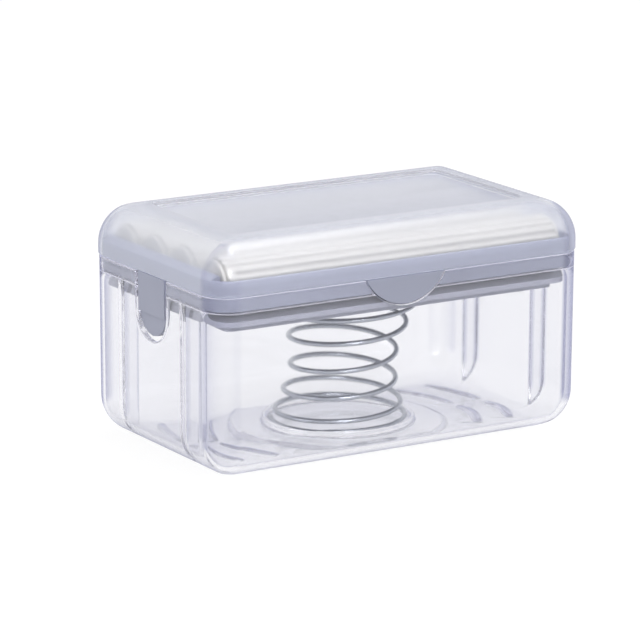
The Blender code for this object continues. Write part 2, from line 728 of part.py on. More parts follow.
def cut_fin_slots(plate):
    """Slots in both ends of the plate that run along the tub's fins."""
    half_slot = FIN_THICKNESS / 2 + SLIDE_GAP
    depth = PLATE_HALF_LENGTH + OVERRUN - (FIN_CREST - SLIDE_GAP)
    middle = FIN_CREST - SLIDE_GAP + depth / 2
    outlines = []
    for end in (-1, 1):
        for side in (-1, 1):
            low = (end * middle - depth / 2, side * FIN_SPREAD - half_slot)
            high = (end * middle + depth / 2, side * FIN_SPREAD + half_slot)
            outlines.append(rectangle(low, high))
    cut(plate, upright("fin_slots", outlines, PLATE_BOTTOM - SKIRT_DEPTH - OVERRUN, RIB_TOP + OVERRUN))


def make_plate(tub):
    """The slotted soap plate, with ribs on top and a skirt and a spring collar below."""
    material = plastic("plate_grey", (0.30, 0.33, 0.42), 0.35)
    edge = rounded_rectangle(PLATE_HALF_LENGTH, PLATE_HALF_WIDTH, PLATE_CORNER_RADIUS, CORNER_STEPS)
    mesh = extruded("soap_plate", [edge], PLATE_THICKNESS)
    place = (0, 0, (PLATE_TOP + PLATE_BOTTOM) / 2)
    plate = add_part("soap_plate", mesh, material, place, parent=tub)
    through = (PLATE_BOTTOM - OVERRUN, PLATE_TOP + OVERRUN)
    cut(plate, upright("drain_slots", slot_outlines(), *through))
    skirt_top = PLATE_BOTTOM + PLATE_THICKNESS / 4
    collar_top = PLATE_BOTTOM + PLATE_THICKNESS / 2
    rib_foot = PLATE_TOP - PLATE_THICKNESS / 4
    skirt_length = PLATE_HALF_LENGTH - SKIRT_INSET
    skirt_width = PLATE_HALF_WIDTH - SKIRT_INSET
    skirt_corner = max(PLATE_CORNER_RADIUS - SKIRT_INSET, SKIRT_WALL + SHARPEST_CORNER)
    outer = rounded_rectangle(skirt_length, skirt_width, skirt_corner, CORNER_STEPS)
    inner = rounded_rectangle(
        skirt_length - SKIRT_WALL, skirt_width - SKIRT_WALL, skirt_corner - SKIRT_WALL, CORNER_STEPS
    )
    join(plate, upright("skirt", [outer, inner], PLATE_BOTTOM - SKIRT_DEPTH, skirt_top))
    join(plate, upright("ribs", rib_outlines(), rib_foot, RIB_TOP))
    collar_outer = COLLAR_RADIUS + COLLAR_WALL
    collar_foot = PLATE_BOTTOM - SKIRT_DEPTH
    profile = [
        (collar_outer, collar_top),
        (collar_outer, collar_foot),
        (COLLAR_RADIUS, collar_foot),
        (COLLAR_RADIUS, collar_top),
    ]
    join(plate, turned("spring_collar", profile, ROUND_SIDES))
    cut_fin_slots(plate)
    return plate


# Spring


def smooth_ramp(share):
    """An even rise from 0 to 1 that starts and ends level."""
    share = np.clip(share, 0, 1)
    return share * share * (3 - share * 2)


def coil_heights(turns):
    """Heights of the wire's centre: close at both ends, with a pitch that grows upwards."""
    fine = np.linspace(SPRING_START_TURN, SPRING_END_TURN, PITCH_SAMPLES)
    progress = (fine - SPRING_START_TURN) / (SPRING_END_TURN - SPRING_START_TURN)
    opening = 1 + PITCH_GROWTH_SHARE * progress
    foot = FOOT_PITCH_SHARE + (1 - FOOT_PITCH_SHARE) * smooth_ramp((fine - fine[0]) / FOOT_RAMP_TURNS)
    head = HEAD_PITCH_SHARE + (1 - HEAD_PITCH_SHARE) * smooth_ramp((fine[-1] - fine) / HEAD_RAMP_TURNS)
    climbed = np.cumsum(opening * foot * head)
    climbed = (climbed - climbed[0]) / (climbed[-1] - climbed[0])
    return np.interp(turns, fine, SPRING_FOOT + (SPRING_HEAD - SPRING_FOOT) * climbed)


def coil_radii(heights):
    """Radii of the wire's centre: wide at the foot and the head, narrow at the waist."""
    below = np.clip((SPRING_WAIST_HEIGHT - heights) / (SPRING_WAIST_HEIGHT - SPRING_FOOT), 0, 1)
    above = np.clip((heights - SPRING_WAIST_HEIGHT) / (SPRING_HEAD - SPRING_WAIST_HEIGHT), 0, 1)
    flare = below ** FOOT_FLARE_POWER + smooth_ramp(above)
    return SPRING_WAIST_RADIUS + (SPRING_FOOT_RADIUS - SPRING_WAIST_RADIUS) * flare


def coil_points():
    """The wire's centre line, with a straight run of one wire diameter at each end.

    The coil leans along one direction, and its middle turns tilt up on the side to the left of it.
    """
    count = round((SPRING_END_TURN - SPRING_START_TURN) * CURL_POINTS) + 1
    turns = np.linspace(SPRING_START_TURN, SPRING_END_TURN, count)
    heights = coil_heights(turns)
    radii = coil_radii(heights)
    angles = FULL_TURN * turns + SPRING_LEAN_ANGLE
    climbed = (heights - SPRING_FOOT) / (SPRING_HEAD - SPRING_FOOT)
    shift = SPRING_HEAD_SHIFT * climbed
    along = radii * np.cos(angles) + shift * math.cos(SPRING_LEAN_ANGLE)
    across = radii * np.sin(angles) + shift * math.sin(SPRING_LEAN_ANGLE)
    tilt = radii * np.sin(FULL_TURN * turns) * math.tan(SPRING_TILT_ANGLE) * np.sin(math.pi * climbed)
    path = np.stack([along, across, heights + tilt], axis=1)
    tangents = np.stack([-np.sin(angles), np.cos(angles), np.zeros(count)], axis=1)
    run = WIRE_RADIUS * 2
    return np.concatenate([[path[0] - tangents[0] * run], path, [path[-1] + tangents[-1] * run]])


def report_coil_gap(path):
    """Print the least gap between turns, from points at least a third of a turn apart."""
    distances = np.linalg.norm(path[:, None] - path[None], axis=2)
    apart = abs(np.subtract.outer(np.arange(len(path)), np.arange(len(path))))
    least = distances[apart > CURL_POINTS / 3].min() - WIRE_RADIUS * 2
    print(f"spring: least gap between turns {least / MM:.2f} mm")


def make_spring(tub):
    """The waisted spring, one unbroken tube between the floor and the plate."""
    material = plastic("spring_steel", (0.36, 0.34, 0.33), 0.3, metallic=1.0)
    path = coil_points()
    report_coil_gap(path)
    curve = bpy.data.curves.new("spring", "CURVE")
    curve.dimensions = "3D"
    curve.bevel_depth = WIRE_RADIUS
    curve.bevel_resolution = 1
    curve.use_fill_caps = True
    spline = curve.splines.new("POLY")
    spline.points.add(len(path) - 1)
    for point, place in zip(spline.points, path):
        point.co = (*place, 1)
    return add_part("spring", curve, material, parent=tub)


def build():
    """Make every piece, each one under the piece that carries it."""
    tub = make_tub()
    frame = make_frame(tub)
    make_lid(frame)
    make_rollers(frame)
    make_plate(tub)
    make_spring(tub)


build()
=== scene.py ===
"""Looks of a draining soap box: a clear tub and lid over grey, ivory and steel inner pieces.

Lengths in the dataclasses are millimetres; meshes are in metres, in the frame of the CAD model:
X along the box, the front faces -Y, +Z up, and the ground at zero.
"""
import logging
import math
from collections.abc import Sequence
from dataclasses import dataclass
from enum import Enum

import bmesh
import bpy
import numpy as np
from mathutils import Matrix, Vector


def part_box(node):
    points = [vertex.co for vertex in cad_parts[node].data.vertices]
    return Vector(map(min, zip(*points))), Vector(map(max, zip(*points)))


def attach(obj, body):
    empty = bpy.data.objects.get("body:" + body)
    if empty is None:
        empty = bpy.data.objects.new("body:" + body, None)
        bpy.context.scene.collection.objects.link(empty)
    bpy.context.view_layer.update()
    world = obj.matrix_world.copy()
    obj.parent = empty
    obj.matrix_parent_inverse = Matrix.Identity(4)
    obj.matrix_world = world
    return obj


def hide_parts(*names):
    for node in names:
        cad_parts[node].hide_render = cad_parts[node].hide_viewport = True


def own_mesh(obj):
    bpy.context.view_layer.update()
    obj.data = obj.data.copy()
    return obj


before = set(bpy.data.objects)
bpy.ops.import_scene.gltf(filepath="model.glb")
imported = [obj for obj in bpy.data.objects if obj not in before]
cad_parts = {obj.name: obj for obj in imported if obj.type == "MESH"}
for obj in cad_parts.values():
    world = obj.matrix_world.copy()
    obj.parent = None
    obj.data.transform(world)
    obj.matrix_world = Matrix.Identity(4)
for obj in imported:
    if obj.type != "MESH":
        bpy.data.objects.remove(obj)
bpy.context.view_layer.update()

MM = 0.001
QUARTER = math.pi / 2
TURN = math.pi * 2
MERGE_DISTANCE = 0.002
CORNER_SOFTNESS = 0.2
TUB_HALF = (60.7, 35.7)
TUB_CORNER = 8.45
LID_HALF = (61.0, 36.0)
LID_CORNER = 8.75
LEDGE = 47.7
FIN_PLACE = 17.2
BEAD_RADII = (40.0, 49.6)
SMALL_ROUND_STEPS = 4
Triple = tuple[float, float, float]
Socket = bpy.types.NodeSocket
log = logging.getLogger("soap_box")


class End(Enum):
    """The two ends of the box, by the sign of X."""

    LEFT = -1
    RIGHT = 1


class Slot(Enum):
    """Names of material slots, one carried by each piece; nothing here reads them."""

    TUB = "clear_tub"
    LID = "clear_lid"
    FRAME = "frame_grey"
    ROLLER = "roller_ivory"
    PLATE = "plate_grey"
    SPRING = "spring_steel"


# Shader maths


class Field:
    """A shader value that adds its Math nodes as it is used in plain expressions."""

    def __init__(self, recipe: "Recipe", socket: Socket) -> None:
        """Wrap an output socket of a recipe's tree."""
        self.recipe = recipe
        self.socket = socket

    def _math(self, operation: str, first: "Field | float", second: "Field | float") -> "Field":
        """Add one Math node on two values and return its result."""
        node = self.recipe.node("ShaderNodeMath", {"operation": operation}, {0: first, 1: second})
        return Field(self.recipe, node.outputs[0])

    def __add__(self, other: "Field | float") -> "Field":
        """This value plus another."""
        return self._math("ADD", self, other)

    __radd__ = __add__

    def __sub__(self, other: "Field | float") -> "Field":
        """This value less another."""
        return self._math("SUBTRACT", self, other)

    def __rsub__(self, other: "Field | float") -> "Field":
        """Another value less this one."""
        return self._math("SUBTRACT", other, self)

    def __mul__(self, other: "Field | float") -> "Field":
        """This value times another."""
        return self._math("MULTIPLY", self, other)

    __rmul__ = __mul__

    def __pow__(self, other: "Field | float") -> "Field":
        """This value raised to a power."""
        return self._math("POWER", self, other)

    def __abs__(self) -> "Field":
        """This value without its sign."""
        return self._math("ABSOLUTE", self, 0.0)

    def at_most(self, other: "Field | float") -> "Field":
        """The smaller of this value and another."""
        return self._math("MINIMUM", self, other)

    def at_least(self, other: "Field | float") -> "Field":
        """The larger of this value and another."""
        return self._math("MAXIMUM", self, other)

    def past(self, start: float, way: float = 2.0) -> "Field":
        """An even rise of this value's size, from 0 at a start to 1 a way later."""
        return ((abs(self) - start) * (1 / way)).at_least(0).at_most(1)

    def near(self, middle: float, reach: float) -> "Field":
        """1 where this value's size is a middle value, falling evenly to 0 at a reach from it."""
        return (1 - abs(abs(self) - middle) * (1 / reach)).at_least(0)


class Recipe:
    """The nodes of one material, or of the world, all added by a single method."""

    def __init__(self, owner: bpy.types.Material | bpy.types.World) -> None:
        """Start with an empty tree.

        Args:
            owner: The material or world that it belongs to.
        """
        owner.use_nodes = True
        self.owner = owner
        self.tree = owner.node_tree
        self.tree.nodes.clear()

    @classmethod
    def named(cls, name: str) -> "Recipe":
        """Start an empty material."""
        return cls(bpy.data.materials.new(name))

    def node(
        self, kind: str, settings: dict | None = None, inputs: dict | None = None
    ) -> bpy.types.Node:
        """Add a node.

        Args:
            kind: The node's Blender type.
            settings: Its properties.
            inputs: Values, fields or sockets by input name or number.

        Returns:
            The new node.
        """
        node = self.tree.nodes.new(kind)
        for key, value in (settings or {}).items():
            setattr(node, key, value)
        for key, value in (inputs or {}).items():
            socket = value.socket if isinstance(value, Field) else value
            if isinstance(socket, Socket):
                self.tree.links.new(socket, node.inputs[key])
            else:
                node.inputs[key].default_value = socket
        return node

    def noise(self, place: Socket, scale: Triple, detail: float) -> Field:
        """Cloudy noise between 0 and 1.

        Args:
            place: The coordinates that it reads.
            scale: How many clouds fit a unit of each coordinate.
            detail: How many finer layers it has.

        Returns:
            The noise value.
        """
        mapping = self.node("ShaderNodeMapping", {}, {"Vector": place, "Scale": scale})
        inputs = {"Vector": mapping.outputs[0], "Scale": 1.0, "Detail": detail}
        return Field(self, self.node("ShaderNodeTexNoise", {}, inputs).outputs[0])

    def clouds(self, size: float, detail: float) -> Field:
        """Noise on Object coordinates, with clouds of a size in millimetres."""
        place = self.node("ShaderNodeTexCoord").outputs["Object"]
        return self.noise(place, (1 / (size * MM),) * 3, detail)

    def bump(self, height: Field, depth: float) -> Socket:
        """A normal from a height field, with its depth in millimetres."""
        inputs = {"Height": height, "Distance": depth * MM, "Strength": 1.0}
        return self.node("ShaderNodeBump", {}, inputs).outputs[0]

    def blend(self, share: Field, first: Triple, second: Triple) -> Socket:
        """A colour between two others."""
        inputs = {0: share, 6: (*first, 1.0), 7: (*second, 1.0)}
        return self.node("ShaderNodeMix", {"data_type": "RGBA"}, inputs).outputs[2]

    def place(self) -> list[Field]:
        """Where a surface point is on the object.

        Returns:
            X, Y and Z in millimetres.
        """
        place = self.node("ShaderNodeTexCoord").outputs["Object"]
        axes = self.node("ShaderNodeSeparateXYZ", {}, {0: place}).outputs
        return [Field(self, axis) * (1 / MM) for axis in axes]

    def facing(self) -> Field:
        """0 where a surface is seen head on, up to 1 where it is seen along itself."""
        return Field(self, self.node("ShaderNodeLayerWeight", {}, {"Blend": 0.5}).outputs["Facing"])

    def entering(self) -> Field:
        """1 where a ray meets the outside of a surface, and 0 where it meets the inside."""
        return 1 - Field(self, self.node("ShaderNodeNewGeometry").outputs["Backfacing"])

    def surface(self, **inputs: object) -> Socket:
        """A Principled shader, its inputs named with _ for each space."""
        named = {key.replace("_", " "): value for key, value in inputs.items()}
        return self.node("ShaderNodeBsdfPrincipled", {}, named).outputs[0]

    def mixed(self, share: Field | Socket, first: Socket, second: Socket) -> Socket:
        """A shader between two others."""
        return self.node("ShaderNodeMixShader", {}, {0: share, 1: first, 2: second}).outputs[0]

    def finish(self, shader: Socket) -> bpy.types.Material:
        """Send a shader to the output and return the material."""
        self.node("ShaderNodeOutputMaterial", {}, {"Surface": shader})
        return self.owner


# Finishes


@dataclass(frozen=True)
class ClearPlastic:
    """Polished clear plastic that bends light, with a faint milky share and tinted edges."""

    name: str
    half: tuple[float, float] = TUB_HALF
    corner: float = TUB_CORNER
    corner_foot: float = 8.0
    # Painted shade: extra tint at the upright corners, on top of the longer path through the
    # plastic there.
    corner_share: float = 1.3
    passed: Triple = (0.9935, 0.9935, 0.9965)
    edge_passed: Triple = (0.47, 0.48, 0.63)
    entry_share: float = 0.10
    edge_power: float = 5.0
    milk_colour: Triple = (0.80, 0.80, 0.92)
    milk_share: float = 0.08
    milk_power: float = 1.5
    milk_roughness: float = 0.2
    cloud_size: float = 4.0
    cloud_roughness: float = 0.08
    # Painted highlight lines: pale bands of milk at the rim's and the ledge's heights, as (height,
    # reach, share).
    painted_highlight_bands: tuple[Triple, ...] = ((52.25, 0.5, 0.8), (LEDGE, 0.15, 0.8))
    bending: float = 1.45
    roughness: float = 0.06
    ripple_size: float = 24.0
    ripple_depth: float = 0.02

    def long_path_and_painted_shade(self, place: Sequence[Field], facing: Field) -> Field:
        """A deeper tint at the upright corners that bend away: partly the long way light has
        through the plastic there, partly painted shade for the dark outlines of those corners.

        Args:
            place: X, Y and Z in millimetres.
            facing: How far a surface is turned away.

        Returns:
            The share of the edge tint.
        """
        starts = (self.half[0] - self.corner, self.half[1] - self.corner, self.corner_foot)
        x, y, z = (axis.past(start) for axis, start in zip(place, starts))
        return x * y * z * facing * self.corner_share

    def glass(self, recipe: Recipe, colour: Triple, normal: Socket) -> Socket:
        """A shader that bends light and passes a colour."""
        inputs = {"Color": (*colour, 1.0), "Roughness": self.roughness, "IOR": self.bending}
        return recipe.node("ShaderNodeBsdfGlass", {}, inputs | {"Normal": normal}).outputs[0]

    def make(self) -> bpy.types.Material:
        """Build the material.

        Light is tinted where it enters a wall, by entry_share + (1 - entry_share) * facing to a
        power, and more at the corners, where the extra tint is partly the plastic's long path and
        partly painted shade (in the tub also painted dark fin lines and bead strokes). Inside, it
        passes on almost unchanged, so that light caught in a wall stays bright. Light on its way to
        a lamp passes straight through.
        At the rim's and the ledge's heights a painted highlight line is laid on: each band adds
        share * (1 - distance / reach) to the milk around its height, which lights up as a pale
        line.

        Returns:
            The material.
        """
        recipe = Recipe.named(self.name)
        normal = recipe.bump(recipe.clouds(self.ripple_size, detail=0.0), self.ripple_depth)
        plain = self.glass(recipe, self.passed, normal)
        tinted = self.glass(recipe, self.edge_passed, normal)
        entry = recipe.entering()
        facing = recipe.facing()
        place = recipe.place()
        edge = facing**self.edge_power * (1 - self.entry_share) + self.entry_share
        # The tint adds the corners' deeper tint, partly painted shade, to the facing tint of the
        # glass.
        tint = (edge + self.long_path_and_painted_shade(place, facing)).at_most(1) * entry
        share = facing**self.milk_power * self.milk_share
        # Painted highlight: more milk in bands at the rim's and the ledge's heights, lit as pale
        # lines.
        for height, reach, most in self.painted_highlight_bands:
            share = share + place[2].near(height, reach) * most
        cloud = recipe.clouds(self.cloud_size, detail=4.0)
        milk = recipe.surface(
            Base_Color=(*self.milk_colour, 1.0),
            Roughness=cloud * self.cloud_roughness + self.milk_roughness,
            Normal=normal,
        )
        wall = recipe.mixed(share.at_most(1) * entry, recipe.mixed(tint, plain, tinted), milk)
        clear = recipe.node("ShaderNodeBsdfTransparent", {}, {"Color": (*self.passed, 1.0)})
        to_lamp = recipe.node("ShaderNodeLightPath").outputs["Is Shadow Ray"]
        return recipe.finish(recipe.mixed(to_lamp, wall, clear.outputs[0]))


@dataclass(frozen=True)
class TubPlastic(ClearPlastic):
    """The tub's clear plastic, with painted dark lines at its fins' crests and roots and painted
    darker strokes over its floor's beads.
    """

    # Painted shade: dark lines along the fins' crests and roots, and darker strokes over the
    # floor's beads.
    fin_reach: float = 2.2
    fin_lines: tuple[tuple[float, float], ...] = ((54.4, 0.9), (58.4, 1.4))
    fin_painted_shade: float = 0.8
    bead_reach: float = 1.9
    bead_start: float = 1.8
    bead_stop: float = 21.5
    bead_painted_shade: float = 0.45

    def long_path_and_painted_shade(self, place: Sequence[Field], facing: Field) -> Field:
        """The corners' tint, and the painted shade of the fins' lines above the floor and of the
        beads' strokes on it.

        Args:
            place: X, Y and Z in millimetres.
            facing: How far a surface is turned away.

        Returns:
            The share of the edge tint.
        """
        x, y, z = place
        above = z.past(self.corner_foot)
        # Painted shade: dark lines at the fins' crests and roots, and darker strokes over the
        # beads.
        fins = y.near(FIN_PLACE, self.fin_reach) * above * self.fin_painted_shade
        lines = sum(x.near(middle, reach) for middle, reach in self.fin_lines)
        radius = (x * x + y * y) ** 0.5
        strokes = sum(radius.near(middle, self.bead_reach) for middle in BEAD_RADII)
        along = y.past(self.bead_start) * (1 - y.past(self.bead_stop, way=1.0)) * (1 - above)
        return super().long_path_and_painted_shade(place, facing) + fins * lines + along * self.bead_painted_shade * strokes


@dataclass(frozen=True)
class MouldedPlastic:
    """Opaque moulded plastic with a faint cloudiness and a fine satin grain."""

    name: str
    colour: Triple
    cloud_colour: Triple
    roughness: float
    grain_size: float = 0.25
    grain_depth: float = 0.008
    grain_roughness: float = 0.12
    cloud_size: float = 14.0

    def make(self) -> bpy.types.Material:
        """Build the material: colour from large clouds, roughness and bump from fine grain.

        Returns:
            The material.
        """
        recipe = Recipe.named(self.name)
        clouds = recipe.clouds(self.cloud_size, detail=3.0)
        grain = recipe.clouds(self.grain_size, detail=2.0)
        body = recipe.surface(
            Base_Color=recipe.blend(clouds, self.colour, self.cloud_colour),
            Roughness=grain * self.grain_roughness + (self.roughness - self.grain_roughness / 2),
            Normal=recipe.bump(grain, self.grain_depth),
        )
        return recipe.finish(body)


@dataclass(frozen=True)
class DrawnSteel:
    """Bright drawn wire with fine lines along it, read from the wire's own UV map."""

    name: str
    colour: Triple = (0.60, 0.62, 0.67)
    line_colour: Triple = (0.26, 0.28, 0.32)
    line_scale: Triple = (3.0, 26.0, 1.0)
    line_depth: float = 0.01
    line_roughness: float = 0.2
    roughness: float = 0.14

    def make(self) -> bpy.types.Material:
        """Build the material: U runs along the wire in turns, V round it.

        Returns:
            The material.
        """
        recipe = Recipe.named(self.name)
        place = recipe.node("ShaderNodeUVMap", {"uv_map": "wire"}).outputs[0]
        lines = recipe.noise(place, self.line_scale, detail=3.0)
        body = recipe.surface(
            Base_Color=recipe.blend(lines, self.colour, self.line_colour),
            Metallic=1.0,
            Roughness=lines * self.line_roughness + self.roughness,
            Normal=recipe.bump(lines, self.line_depth),
        )
        return recipe.finish(body)


# Meshes


def ring_faces(rings: int, count: int, loop: bool, capped: bool = True) -> list[list[int]]:
    """Quads between neighbouring rings of points, each ring closed on itself.

    Args:
        rings: How many rings there are.
        count: How many points each has.
        loop: True where the last ring joins the first.
        capped: True where the two ends get a flat face, if they don't join.

    Returns:
        The faces as lists of point numbers.
    """
    row = np.arange(rings if loop else rings - 1)[:, None]
    column = np.arange(count)[None, :]
    next_row = (row + 1) % rings
    next_column = (column + 1) % count
    corners = (
        row * count + column,
        row * count + next_column,
        next_row * count + next_column,
        next_row * count + column,
    )
    faces = np.stack(np.broadcast_arrays(*corners), axis=-1).reshape(-1, 4).tolist()
    if capped and not loop:
        faces += [list(range(count))[::-1], list(range((rings - 1) * count, rings * count))]
    return faces


def tidied(mesh: bpy.types.Mesh, flat_angle: float = 0.0) -> bpy.types.Mesh:
    """Merge a mesh's doubles and turn its faces outwards.

    Args:
        mesh: The mesh, changed in place.
        flat_angle: The angle up to which neighbouring faces are joined into one, if any.

    Returns:
        The same mesh.
    """
    bm = bmesh.new()
    bm.from_mesh(mesh)
    bmesh.ops.remove_doubles(bm, verts=bm.verts, dist=MERGE_DISTANCE * MM)
    if flat_angle:
        bmesh.ops.dissolve_limit(bm, angle_limit=flat_angle, verts=bm.verts, edges=bm.edges)
    bmesh.ops.recalc_face_normals(bm, faces=bm.faces)
    bm.to_mesh(mesh)
    bm.free()
    return mesh


def mesh_of(name: str, points: np.ndarray, faces: list[list[int]]) -> bpy.types.Mesh:
    """A merged mesh with its faces pointing out.

    Args:
        name: Its name.
        points: Its points in millimetres.
        faces: Its faces as lists of point numbers.

    Returns:
        The mesh, in metres.
    """
    mesh = bpy.data.meshes.new(name)
    mesh.from_pydata((points * MM).tolist(), [], faces)
    return tidied(mesh)


def mesh_of_rings(name: str, grid: np.ndarray, loop: bool = False) -> bpy.types.Mesh:
    """A closed mesh from a grid of rings: a loop of them, or with a flat face at both ends."""
    return mesh_of(name, grid.reshape(-1, 3), ring_faces(*grid.shape[:2], loop))


def lifted(x: np.ndarray, y: np.ndarray, heights: np.ndarray) -> np.ndarray:
    """A grid of points from a grid of X, the Y of its points, and the height of each row."""
    return np.stack(np.broadcast_arrays(x, y, heights[:, None]), axis=2)


def united(base: bpy.types.Mesh, details: Sequence[bpy.types.Mesh]) -> bpy.types.Mesh:
    """Join closed meshes into one.

    Args:
        base: The main mesh.
        details: The meshes that stand on it.

    Returns:
        One closed mesh round all of them.
    """
    holder = bpy.data.collections.new("details")
    objects = [bpy.data.objects.new(mesh.name, mesh) for mesh in (base, *details)]
    bpy.context.scene.collection.objects.link(objects[0])
    bpy.context.scene.collection.children.link(holder)
    for detail in objects[1:]:
        holder.objects.link(detail)
    union = objects[0].modifiers.new("union", "BOOLEAN")
    union.operation = "UNION"
    union.solver = "EXACT"
    union.operand_type = "COLLECTION"
    union.collection = holder
    evaluated = objects[0].evaluated_get(bpy.context.evaluated_depsgraph_get())
    whole = bpy.data.meshes.new_from_object(evaluated)
    for item in objects:
        bpy.data.objects.remove(item)
    bpy.data.collections.remove(holder)
    return whole


@dataclass
class Piece:
    """One piece of the scene, the body that it rides on and the CAD node that it stands for."""

    name: str
    body: str
    slot: Slot
    node: str
    sharp_angle: float = math.radians(40)
    flat_angle: float = math.radians(0.5)
    bevel_angle: float = math.radians(35)

    def from_mesh(self, mesh: bpy.types.Mesh, material: bpy.types.Material) -> bpy.types.Object:
        """Tidy a mesh, link it, dress it and hand it to the frame.

        Args:
            mesh: The piece's mesh, in metres.
            material: Its finish.

        Returns:
            The new object.
        """
        tidied(mesh)
        mesh.shade_smooth()
        mesh.set_sharp_from_angle(angle=self.sharp_angle)
        piece = bpy.data.objects.new(self.name, mesh)
        bpy.context.scene.collection.objects.link(piece)
        mesh.materials.clear()
        mesh.materials.append(material)
        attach(piece, self.body)
        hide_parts(self.node)
        log.info("%s: %d faces on %s", self.name, len(mesh.polygons), self.body)
        return piece

    def from_rings(
        self, grid: np.ndarray, material: bpy.types.Material, loop: bool = False
    ) -> bpy.types.Object:
        """Make a closed piece from rings of points.

        Args:
            grid: Points in millimetres, shaped (rings, points of a ring, 3).
            material: The piece's finish.
            loop: True where the last ring joins the first, else both ends get a flat face.

        Returns:
            The new object.
        """
        return self.from_mesh(mesh_of_rings(self.name, grid, loop), material)

    def softened(self, width: float, material: bpy.types.Material) -> None:
        """Make the piece from a merged copy of its CAD node, with its sharp edges rounded.

        Args:
            width: How wide the rounding is, in millimetres.
            material: The piece's finish.
        """
        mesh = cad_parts[self.node].data.copy()
        mesh.name = self.name
        piece = self.from_mesh(tidied(mesh, self.flat_angle), material)
        bevel = piece.modifiers.new("soft_edges", "BEVEL")
        bevel.width = width * MM
        bevel.segments = 2
        bevel.limit_method = "ANGLE"
        bevel.angle_limit = self.bevel_angle


@dataclass(frozen=True)
class Columns:
    """Places round a rounded rectangle: shares of its straight sides, facings on its corners."""

    share: np.ndarray
    facing: np.ndarray

    @staticmethod
    def around(straight: Sequence[float], sides: Sequence[np.ndarray], steps: int) -> "Columns":
        """Columns at given places along each straight side, with even steps round the corners.

        Args:
            straight: Half the straight run along X and along Y, in millimetres.
            sides: Places along the right, back, left and front side, in walking order.
            steps: Steps round each corner.

        Returns:
            The columns, counterclockwise from above.
        """
        shares, facings = [], []
        for number, places in enumerate(sides):
            angle = QUARTER * number
            normal = np.array([math.cos(angle), math.sin(angle)])
            along = np.array([-normal[1], normal[0]])
            run = straight[1] if number % 2 == 0 else straight[0]
            shares.append(normal + along * (np.asarray(places) / run)[:, None])
            facings.append(np.tile(normal, (len(places), 1)))
            turn = angle + QUARTER * np.arange(1, steps) / steps
            shares.append(np.tile(normal + along, (steps - 1, 1)))
            facings.append(np.stack([np.cos(turn), np.sin(turn)], axis=1))
        return Columns(np.concatenate(shares), np.concatenate(facings))

    def rings(self, half: Sequence[float], inset: np.ndarray, radius: np.ndarray) -> np.ndarray:
        """Points of rounded rectangles: share * (half - inset - radius) + facing * radius.

        Args:
            half: Half the length and half the width with no inset.
            inset: Insets shaped (rings, columns) or (rings, 1).
            radius: Corner radii, shaped like the insets.

        Returns:
            Points shaped (rings, columns, 2).
        """
        reach = np.asarray(half) - inset[..., None] - radius[..., None]
        return self.share * reach + self.facing * radius[..., None]

    def walls(
        self,
        half: Sequence[float],
        corner: float,
        least: float,
        inset: np.ndarray,
        height: np.ndarray,
    ) -> np.ndarray:
        """Points of a wall whose corners tighten with its inset.

        With m = corner - inset - least, the radius is least + (m + sqrt(m squared + softness)) / 2,
        which shrinks with the inset and levels off softly at the least one.

        Args:
            half: Half the length and half the width with no inset.
            corner: The corner radius with no inset.
            least: The least corner radius.
            inset: Insets shaped (rings, columns) or (rings, 1).
            height: Heights, shaped like the insets.

        Returns:
            Points shaped (rings, columns, 3).
        """
        room = corner - inset - least
        plan = self.rings(half, inset, least + (room + np.sqrt(room**2 + CORNER_SOFTNESS)) / 2)
        tall = np.broadcast_to(height, plan.shape[:2])
        return np.concatenate([plan, tall[..., None]], axis=2)


def even_places(reach: float, step: float) -> np.ndarray:
    """Even places from -reach to reach, no further apart than a step."""
    return np.linspace(-reach, reach, max(int(math.ceil(reach * 2 / step)), 1) + 1)


def eased(share: np.ndarray) -> np.ndarray:
    """A rise from 0 to 1 that starts and ends level: 3 s squared - 2 s cubed, within 0 to 1."""
    share = np.clip(share, 0, 1)
    return share * share * (3 - 2 * share)


def bowl(centre: float, radius: float, place: np.ndarray) -> np.ndarray:
    """The lower half of a circle: its centre less sqrt(radius^2 - place^2), and level beside it."""
    return centre - np.sqrt(np.clip(radius**2 - place**2, 0, None))


def quarter_round(steps: int) -> tuple[np.ndarray, np.ndarray]:
    """Cosines and sines from 0 to a quarter turn."""
    angles = QUARTER * np.arange(steps + 1) / steps
    return np.cos(angles), np.sin(angles)


# Tub


